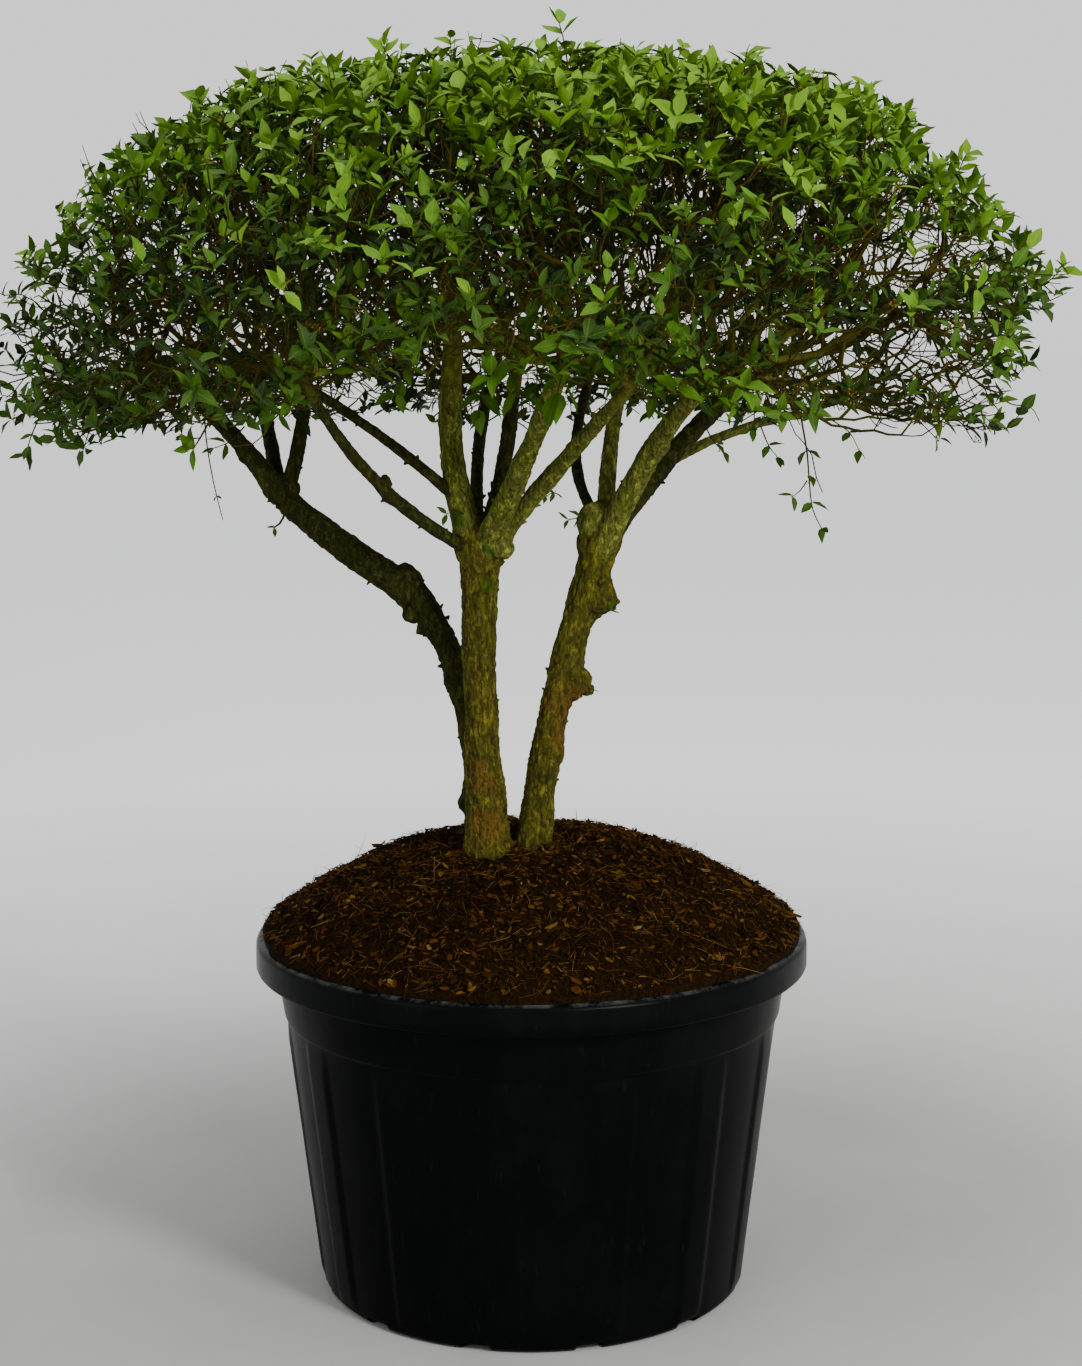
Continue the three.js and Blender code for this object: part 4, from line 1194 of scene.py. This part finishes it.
def make_leaves(name, leaves, random, nodes):
    """Leaves as one mesh. Each has a root, a course, the way it faces, a size and a tint."""
    root, along, normal, length, tint = leaves
    each = (len(root), 1)
    length = length[:, None]
    half = length * LEAF.width * random.uniform(0.85, 1.15, each) / 2 * WIDTH_OF
    fold = LEAF.fold * random.uniform(0.4, 1.6, each)
    droop = LEAF.droop * random.normal(1, 0.9, each)
    twist = random.normal(0, 0.12, each)
    u, side, petiole = STATION_OF, TEMPLATE[:, 1], TEMPLATE[:, 2]
    x = length * u - LEAF.petiole * petiole
    y = side * np.maximum(half, np.where(u == 0, LEAF.stem_width, 0))
    wave = LEAF.wave * length * np.sin(7 * u + random.uniform(0, 6, each)) * (side != 0) * u
    z = fold * half * np.abs(side) - droop * length * u**2 + wave
    z += twist * u * y
    points = root[:, None] + x[..., None] * along[:, None] + y[..., None] * np.cross(normal, along)[:, None]
    points = points + z[..., None] * normal[:, None]
    offsets = (np.arange(len(root)) * len(TEMPLATE))[:, None, None]
    faces = [(corners[None] + offsets).reshape(-1, corners.shape[1]) for corners in LEAF_FACES]
    slots = [np.repeat(tint, len(corners)) for corners in LEAF_FACES]
    uv = np.tile(np.stack([u, 0.5 + 0.5 * side], axis=1), (len(root), 1))
    make_piece(name, points.reshape(-1, 3), faces, leaf_materials, "foliage", nodes, slots, uv)


def sprays(p, axis, count, light, size, random):
    """Leaves in opposite pairs round short shoots at p, the topmost pairs youngest and steepest."""
    n = len(p)
    owner = np.repeat(np.arange(n), count)
    order = np.arange(len(owner)) - np.repeat(np.cumsum(count) - count, count)
    pair = order // 2
    is_last = (order == count[owner] - 1) & (count[owner] % 2 == 1)
    level = unit(np.cross(axis, random.normal(0, 1, (n, 3))))[owner]
    axis = axis[owner]
    turn = pair * math.pi / 2 + random.normal(0, 0.25, len(owner)) + math.pi * (order % 2)
    opening = random.normal(SPRAY.opening, 15, len(owner)) - SPRAY.steeper * pair
    opening = np.where(is_last, SPRAY.steepest, np.clip(opening, SPRAY.steepest, SPRAY.widest))
    opening = np.radians(opening)
    along = axis * np.cos(opening)[:, None] + turned(level, axis, turn) * np.sin(opening)[:, None]
    along[:, 2] += random.normal(0.04, 0.14, len(owner))
    along = unit(along)
    facing = axis + np.array((0, 0, 0.5)) + random.normal(0, 0.22, (len(owner), 3))
    facing = unit(facing - (facing * along).sum(axis=1)[:, None] * along)
    root = p[owner] + axis * (SPRAY.pitch * pair)[:, None]
    length = size[owner] * (1 - 0.1 * pair) * random.uniform(0.8, 1.15, len(owner))
    darker, spread = SPRAY.tint
    tint = light[owner] * len(LEAF_TINTS) + darker + random.normal(0, spread, n)[owner]
    tint = np.clip(np.round(tint), 0, len(LEAF_TINTS) - 1).astype(int)
    out = outness(root + along * length[:, None])
    kept = out < LEAF.reach + 0.02 * noise(root, 60, 73) + np.abs(random.normal(0, 0.016, len(out)))
    return [values[kept] for values in (root, along, facing, length, tint)]


def joined(sets):
    return [np.concatenate(parts) for parts in zip(*sets)]


def tree_sprays(tree, random):
    """Sprays at the tree's tips and at joints of its outer twigs."""
    _, is_tip = tree.loads()
    n = tree.count
    p, ahead, level = tree.p[:n], tree.ahead[:n], tree.level[:n]
    light = spray_light(p)
    coarse, fine = FULLNESS.clumps
    clump = smooth(noise(p, coarse, 67) + 0.6 * noise(p, fine, 68), -0.6, 0.5)
    bare = lerp(*FULLNESS.hollow, smooth(np.abs(p[:, 0] - CROWN.centre_x), 180, 420))
    clump = lerp(clump * lerp(1, bare, smooth(rise(p), 0.08, 0.4)), 1, smooth(rise(p), 0.8, 0.95))
    leafy = smooth(outness(p), 0.3, 0.85) * lerp(0.4, 1.0, clump)
    chance = np.where(is_tip, lerp(*FULLNESS.tip, leafy), FULLNESS.joint * leafy) * (1 - opened(p))
    chosen = random.random(n) < np.where(level < 1, 0, chance)
    p, ahead, light, is_tip = p[chosen], ahead[chosen], light[chosen], is_tip[chosen]
    outward = unit(np.stack([p[:, 0] / 900, p[:, 1] / 800, 0.5 + 0 * p[:, 0]], axis=1))
    axis = 0.7 * ahead + lerp(0.35, 0.9, light)[:, None] * np.array((0, 0, 1.0)) + 0.35 * outward
    axis = unit(axis + random.normal(0, 0.3, p.shape))
    count = np.where(is_tip, lerp(*SPRAY.count, light), SPRAY.at_joint) + random.normal(0, 0.9, len(p))
    count = np.clip(np.round(count), 1, SPRAY.most).astype(int)
    size = LEAF.length * np.where(is_tip, 1, SPRAY.joint_size) * lerp(*SPRAY.size, light)
    return p, axis, count, light, size * random.uniform(0.75, 1.22, len(p))


def add_stalks(heap, p, axis, count):
    """Short stalks of the second material, green, that carry sprays of more than one pair."""
    for foot, way, leaves in zip(p, axis, count):
        if leaves > 2:
            length = SPRAY.pitch * ((leaves - 1) // 2)
            ends = np.array([foot - 2 * way, foot + length * way])
            heap.add(*tube(ends, np.array([1.0, 0.7]), 3, STRAIGHT), slot=1)


def tuft_shoots():
    """The tufts as shoots that grow out of the crown square to its outline."""
    shoots = []
    for x, z, leaf in TUFTS:
        end = np.array((x, 0, z), float)
        rate = (z - crown_equator(x)) / (CROWN.top - CROWN.equator) ** 2
        out = unit(np.array(((x - CROWN.centre_x) / CROWN.half_width ** 2, 0, rate)))
        out = unit(out + (0, 0, TUFT.rise))
        bow = np.array((0, 0, -TUFT.bow))
        way = [end - TUFT.length * out, end - TUFT.bow_at * TUFT.length * out + bow, end]
        shoots.append((TUFT.radius, leaf, TUFT.tint, TUFT.pairs, way))
    return shoots


def add_lone_shoots():
    """The shoots that stand apart, with their leaves in pairs."""
    random = np.random.default_rng(90)
    twigs, sets = Heap(), []
    for radius, leaf, least_tint, pairs, way in SHOOTS + tuft_shoots():
        way = np.array(way, float)
        twigs.add(*tube(way, radius * np.linspace(1.15, 0.6, len(way)), 5, 9))
        far = np.append(0, np.cumsum(length_of(np.diff(way, axis=0))))
        ahead = unit(way[-1] - way[-2])
        for turn, share in enumerate(pairs):
            spot = np.array([np.interp(share * far[-1], far, way[:, i]) for i in range(3)])
            start = unit(np.cross(ahead, (0.3, 1.0, 0.2)))
            level = turned(start, ahead, turn * 1.4 + random.normal(0, 0.3))
            for side in (-1, 1):
                along = unit(0.75 * ahead + side * level + random.normal(0, 0.18, 3))
                facing = np.array((0, -0.5, 0.9)) + random.normal(0, 0.3, 3)
                facing = unit(facing - (facing @ along) * along)
                size = leaf * random.uniform(0.8, 1.15)
                light = spray_light(spot[None])[0] * len(LEAF_TINTS) + random.normal(0, 0.5)
                tint = min(max(round(light), least_tint), len(LEAF_TINTS) - 1)
                sets.append([np.array([value]) for value in (spot, along, facing, size, tint)])
    nodes = ["foliage_right_front", "foliage_left", "foliage_crown", "middle_stem", "right_stem"]
    twigs.piece("twigs_apart", [twig_brown], "bark", nodes)
    make_leaves("leaves_apart", joined(sets), random, nodes)


# Spent flowers

FLOWER = Sizes(stalks=5, turn=2.4, tilt=1.25, length=8, stalk=0.4, bud=1.5)
BUD_FACES = [(0, 1, 2), (1, 3, 2), (3, 4, 2), (4, 0, 2), (1, 0, 5), (3, 1, 5), (4, 3, 5), (0, 4, 5)]


def flower_template(random):
    """A little umbel: stalks that spread from one point, each with a bud."""
    heap = Heap()
    for i in range(FLOWER.stalks):
        turn = i * FLOWER.turn
        tilt = math.sqrt((i + 0.5) / FLOWER.stalks) * FLOWER.tilt
        way = np.array((math.sin(tilt) * math.cos(turn), math.sin(tilt) * math.sin(turn), math.cos(tilt)))
        end = way * (FLOWER.length * random.uniform(0.7, 1.15))
        heap.add(*tube(np.array([way * 0.2, end]), np.array([FLOWER.stalk] * 2), 3, STRAIGHT))
        bud = np.vstack([np.eye(3), -np.eye(3)]) * FLOWER.bud * random.uniform(0.8, 1.3)
        heap.add(bud + end, np.array(BUD_FACES))
    return heap


def add_flowers(name, p, axis, random, nodes):
    template = flower_template(random)
    points = np.concatenate(template.points)
    heap = Heap()
    for foot, way in zip(p, axis):
        side = unit(np.cross(way, random.normal(0, 1, 3)))
        turn = np.stack([side, np.cross(way, side), way])
        heap.add(foot + random.uniform(0.8, 1.35) * points @ turn, *template.faces)
    heap.piece(name, [flower_spent], "foliage", nodes)


def dress_group(group, suffixes, random):
    """Twigs, leaves and spent flowers of the masses in one part of the crown."""
    members = [i for i, limb in enumerate(masses) if limb.name.removeprefix("bough_") in suffixes]
    nodes = [masses[i].name.replace("bough", "foliage") for i in members]
    twigs, sets, flowers = Heap(), [], []
    for i in members:
        tree = trees[i]
        add_tree(twigs, tree, masses[i])
        p, axis, count, light, size = tree_sprays(tree, random)
        add_stalks(twigs, p, axis, count)
        sets.append(sprays(p, axis, count, light, size, random))
        q, ahead, level = tree.p[: tree.count], tree.ahead[: tree.count], tree.level[: tree.count]
        chance = FULLNESS.flowers * (level > 0) * smooth(outness(q), 0.35, 0.7)
        chosen = random.random(len(q)) < chance
        way = unit(ahead[chosen] * 0.3 + random.normal(0, 0.6, (chosen.sum(), 3)) + (0, 0, 0.4))
        flowers.append((q[chosen], way))
    wood = wood_share_with_painted_shade(np.concatenate(twigs.points), [masses[i] for i in members])
    twigs.piece(f"twigs_{group}", [twig_brown, shoot_green], "bark", nodes, values={"wood": wood})
    make_leaves(f"leaves_{group}", joined(sets), random, nodes)
    add_flowers(f"flowers_{group}", *joined(flowers), random, nodes)


for seed, (group, suffixes) in enumerate(GROUPS.items()):
    dress_group(group, suffixes, np.random.default_rng(60 + seed))
add_lone_shoots()


# The pot

# The lip's rounding, the columns to a rib, and where a rib's side starts and ends as shares of them
ROUND = 11
PER_RIB = 30
RIB_SIDE = (0.13, 0.21)


def pot_profile():
    """Radius and height from the middle of the underside, up the outside and into the mouth."""
    base, wall_top, lip = POT.base, POT.wall_top, POT.lip
    top, under, wall = POT.height, POT.height - POT.lip_depth, POT.wall_height
    rows = [(0, 0), (base - 90, 0), (base - POT.chamfer - 2, 0), (base - 4, 2.4), (base - 1.4, 5)]
    for height in (8, 11, 11.5, 16, 30, *range(60, 421, 30)):
        rows.append((lerp(base, wall_top, height / wall), height))
    rows += [(wall_top + out, height) for out, height in ((0, 426), (1, 428.4), (3.4, 430), (4.6, 433))]
    for height in range(450, 500, 12):
        rows.append((lerp(wall_top + POT.step, POT.band_top, (height - wall) / 73), height))
    rows += [(POT.band_top - 0.4, under - 1), (POT.band_top + 2, under + 1.5)]
    rows += [(lip + out, under + up) for out, up in ((-6, 0.4), (-1.6, 1.6), (0, 5), (0, 20), (0, 34))]
    for angle in np.arange(1, 9) / 8 * math.pi / 2:
        rows.append((lip - ROUND + ROUND * math.cos(angle), top - ROUND + ROUND * math.sin(angle)))
    rows += [(POT.mouth + out, top - down) for out, down in ((6, 0), (2, 0.8), (0, 4))]
    return np.array([*rows, (wall_top + 6, wall + 30)], float)


def add_pot():
    columns = POT.ribs * PER_RIB
    profile = pot_profile()
    share = (np.arange(columns) % PER_RIB) / PER_RIB - 0.5
    turns = (np.arange(columns) // PER_RIB + share) / POT.ribs
    angle = math.radians(POT.rib_turn) + turns * 2 * math.pi
    radius, height = (profile[:, [i]] + np.zeros(columns) for i in (0, 1))
    ribbed = smooth(height, 8, 30) * fade(height, 404, 428) * (radius > POT.base - 2)
    radius = radius + ribbed * POT.rib_height * fade(np.abs(share), *RIB_SIDE)
    pitch = 2 * math.pi / POT.notches
    off_notch = np.abs((angle / pitch) % 1 - 0.5) * pitch * POT.base
    notched = (off_notch < POT.notch_width / 2) & (height <= POT.notch_height)
    radius = radius - POT.notch_depth * (notched & (radius > POT.base - 20))
    p = np.stack([radius * np.cos(angle), radius * np.sin(angle), height], axis=-1).reshape(-1, 3)
    wave = 0.7 * noise(p, 90, 5) + 0.25 * noise(p, 30, 6)
    p[:, :2] *= 1 + (wave * (radius.ravel() > 300) / 400)[:, None]
    faces = [grid_faces(len(profile), columns)[columns:], fan_faces(columns, columns, 0, flip=True)]
    make_piece("pot_shell", p, faces, [pot_black], "pot", ["pot"])


add_pot()


# The heap of mulch

MULCH = Sizes(rings=60, columns=380, chips=6800, fibres=6400, edge=421)
# The usual length of chips and fibres and its spread, their other sizes, and how the colours of
# MULCH_TONES are shared out among them
CHIP = Sizes(length=(8.5, 0.42), width=(0.2, 0.55), thick=(0.6, 2.0), lift=(0.0, 3.0), bend=0.12,
            tones=(0.24, 0.30, 0.36, 0.09, 0.01))
CHIP_OUTLINE = [(-1, -0.35), (-0.35, -1), (0.6, -0.75), (1, 0.2), (0.25, 1), (-0.7, 0.65)]
FIBRE = Sizes(length=(17, 0.5), radius=(0.3, 0.8), lift=(0.5, 3.5), raised=0.3, step=30,
             tones=(0.0, 0.25, 0.48, 0.23, 0.04))
# How much more of each colour there is where the mulch is pale
PALER = (-0.8, -0.5, 0.3, 0.9, 0.9)


def mound_height(radius):
    share = np.clip(1 - (np.minimum(radius, MOUND.reach) / MOUND.reach) ** MOUND.slope_power, 0, 1)
    return MOUND.brim + (MOUND.crest - MOUND.brim) * share ** (1 / MOUND.crest_power)


def mulch_surface(xy):
    """The heap's rough surface over points of the ground."""
    radius = length_of(xy)
    flat = np.column_stack([xy, 0 * radius])
    rough = 5.5 * layered(flat, 62, 201) + 3.4 * layered(flat, 17, 207) + 2.6 * noise(flat, 7, 211)
    return mound_height(radius) + np.maximum(rough, -4) * smooth(MULCH.edge + 6 - radius, 0, 22) + 1.5


def add_mulch():
    random = np.random.default_rng(8)
    rings, columns = MULCH.rings, MULCH.columns
    angle = around(columns)
    circle = np.column_stack([np.cos(angle), np.sin(angle), 0 * angle])
    edge = MULCH.edge + 5 * noise(40 * circle, 5, 31)
    radius = ((np.arange(rings) + 1) / rings)[:, None] * edge
    xy = np.stack([radius * np.cos(angle), radius * np.sin(angle)], axis=-1).reshape(-1, 2)
    top = np.column_stack([xy, mulch_surface(xy)])
    skirt = np.column_stack([xy[-columns:], np.full(columns, POT.height + 0.2)])
    centre = (0, 0, mulch_surface(np.zeros((1, 2)))[0])
    points = np.vstack([top, skirt, centre])
    faces = [grid_faces(rings + 1, columns)[:, ::-1], fan_faces(0, columns, len(points) - 1)]
    make_piece("mulch_soil", points, faces, mulch_materials[:1], "mulch", ["mulch_mound"])
    for name, count, add in (("chips", MULCH.chips, add_chip), ("fibres", MULCH.fibres, add_fibre)):
        heap = Heap()
        for _ in range(count):
            add(heap, random)
        heap.piece(f"mulch_{name}", mulch_materials, "mulch", ["mulch_mound"], smoothed=False)


def mulch_spot(random, most):
    """A random spot on the heap, and two directions across its slope and one out of it."""
    xy = random.uniform(-most, most, 2)
    while np.hypot(*xy) >= most:
        xy = random.uniform(-most, most, 2)
    ends = mulch_surface(np.array([xy, xy + (4, 0), xy + (0, 4)]))
    normal = unit(np.array((ends[0] - ends[1], ends[0] - ends[2], 4.0)))
    way = random.normal(0, 1, 3) * (1, 1, 0.45)
    way = unit(way - 0.75 * (way @ normal) * normal)
    return np.array((*xy, ends[0])), way, unit(np.cross(normal, way)), normal


def mulch_tone(random, spot, plain):
    """A colour's number at a spot: darker ones in some patches and paler in others."""
    pale = 1.1 * noise(spot, 55, 33) + 0.9 * noise(spot, 20, 34)
    shares = np.array(plain) * np.exp(pale * np.array(PALER))
    return random.choice(len(plain), p=shares / shares.sum())


def add_chip(heap, random):
    """A flake of bark: a six-sided slab, thin, tapered and a little bent."""
    spot, way, side, normal = mulch_spot(random, MULCH.edge - 4)
    out = np.cross(way, side)
    usual, spread = CHIP.length
    length = random.lognormal(math.log(usual), spread)
    width = length * random.uniform(*CHIP.width)
    thick = random.uniform(*CHIP.thick)
    outline = np.array(CHIP_OUTLINE) * random.uniform(0.7, 1.2, (6, 2)) * (length / 2, width / 2)
    bend = random.normal(0, CHIP.bend) * length * (outline[:, 0] / length) ** 2 * 4
    flat = spot + outline[:, :1] * way + outline[:, 1:] * side + bend[:, None] * out
    flat = flat + random.uniform(*CHIP.lift) * normal
    lid = np.array([(6, 7, 8, 9), (6, 9, 10, 11)])
    walls = grid_faces(2, 6)
    heap.add(np.vstack([flat, flat + thick * out]), np.vstack([lid, walls]),
             slot=mulch_tone(random, spot, CHIP.tones))


def add_fibre(heap, random):
    """A thin curled fibre. Some stand up out of the heap."""
    spot, way, side, normal = mulch_spot(random, MULCH.edge - 2)
    if random.random() < FIBRE.raised:
        way = unit(way + random.uniform(0.3, 0.9) * normal)
    usual, spread = FIBRE.length
    length = random.lognormal(math.log(usual), spread)
    t = np.linspace(-0.5, 0.5, 3)[:, None]
    curl = random.normal(0, 0.35) * side + abs(random.normal(0, 0.16)) * normal
    stops = spot + normal * random.uniform(*FIBRE.lift) + length * (t * way + (0.25 - t**2) * curl)
    tone = mulch_tone(random, spot, FIBRE.tones)
    radius = random.uniform(*FIBRE.radius)
    heap.add(*tube(stops, np.array([0.6, 1, 0.5]) * radius, 3, FIBRE.step), slot=tone)


add_mulch()


# Floor, light and camera. Their sizes are in metres.

FLOOR = Sizes(
    half=40.0, fades=(0.9, 4.0), near=[(0.30, 0.302, 0.295), (0.35, 0.352, 0.345)], far=(0.95, 0.955, 0.96),
)
# Where each light is, what it points at, its size, its power and its colour
LIGHTS = [
    ("key", (2.3, -3.2, 2.5), (0, 0, 1.1), 1.0, 230, (1.0, 0.985, 0.95)),
    ("top", (-0.3, -0.4, 4.4), (0, 0, 1.4), 2.2, 90, (1.0, 1.0, 1.0)),
    ("fill", (-3.0, -2.6, 1.8), (0, 0, 0.9), 1.6, 20, (0.97, 0.99, 1.0)),
]
SKY = Sizes(colour=(0.875, 0.88, 0.875, 1), strength=1.28)


def add_floor():
    mesh = bpy.data.meshes.new("floor")
    half = FLOOR.half
    corners = [(-half, -half, 0), (half, -half, 0), (half, half, 0), (-half, half, 0)]
    mesh.from_pydata(corners, [], [(0, 1, 2, 3)])
    surface = Surface("pale_floor", 0.8, 0.1)
    near = surface.mix(surface.blotch(0.3, 0.7, 1.6, 5), *FLOOR.near)
    length = surface.new("VectorMath")
    length.operation = "LENGTH"
    away = surface.spread(surface.fill(length, {0: surface.place})["Value"], *FLOOR.fades)
    surface.fill(surface.shader, {"Base Color": surface.mix(away, near, FLOOR.far)})
    mesh.materials.append(surface.material)
    put("floor", mesh)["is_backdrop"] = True


def add_light(name, at, towards, size, power, colour):
    data = bpy.data.lights.new(name, "AREA")
    data.shape = "DISK"
    data.size = size
    data.energy = power
    data.color = colour
    light = put(name, data)
    light.location = at
    light.rotation_euler = (Vector(towards) - Vector(at)).to_track_quat("-Z", "Y").to_euler()


def add_world():
    world = bpy.data.worlds.new("studio")
    world.use_nodes = True
    background = world.node_tree.nodes["Background"]
    background.inputs["Color"].default_value = SKY.colour
    background.inputs["Strength"].default_value = SKY.strength
    bpy.context.scene.world = world


def add_camera():
    data = bpy.data.cameras.new("camera")
    data.sensor_fit = "AUTO"
    data.sensor_width = CAMERA.film
    data.lens = CAMERA.lens
    data.shift_y = CAMERA.shift
    camera = put("camera", data)
    camera.location = CAMERA.at
    camera.rotation_euler = (math.radians(90 - CAMERA.pitch), math.radians(CAMERA.roll), 0)
    bpy.context.scene.camera = camera


add_floor()
for light in LIGHTS:
    add_light(*light)
add_world()
add_camera()

boxes = {"cad": cad_box, "visual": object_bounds()}
{name: [list(corner) for corner in box] for name, box in boxes.items()}
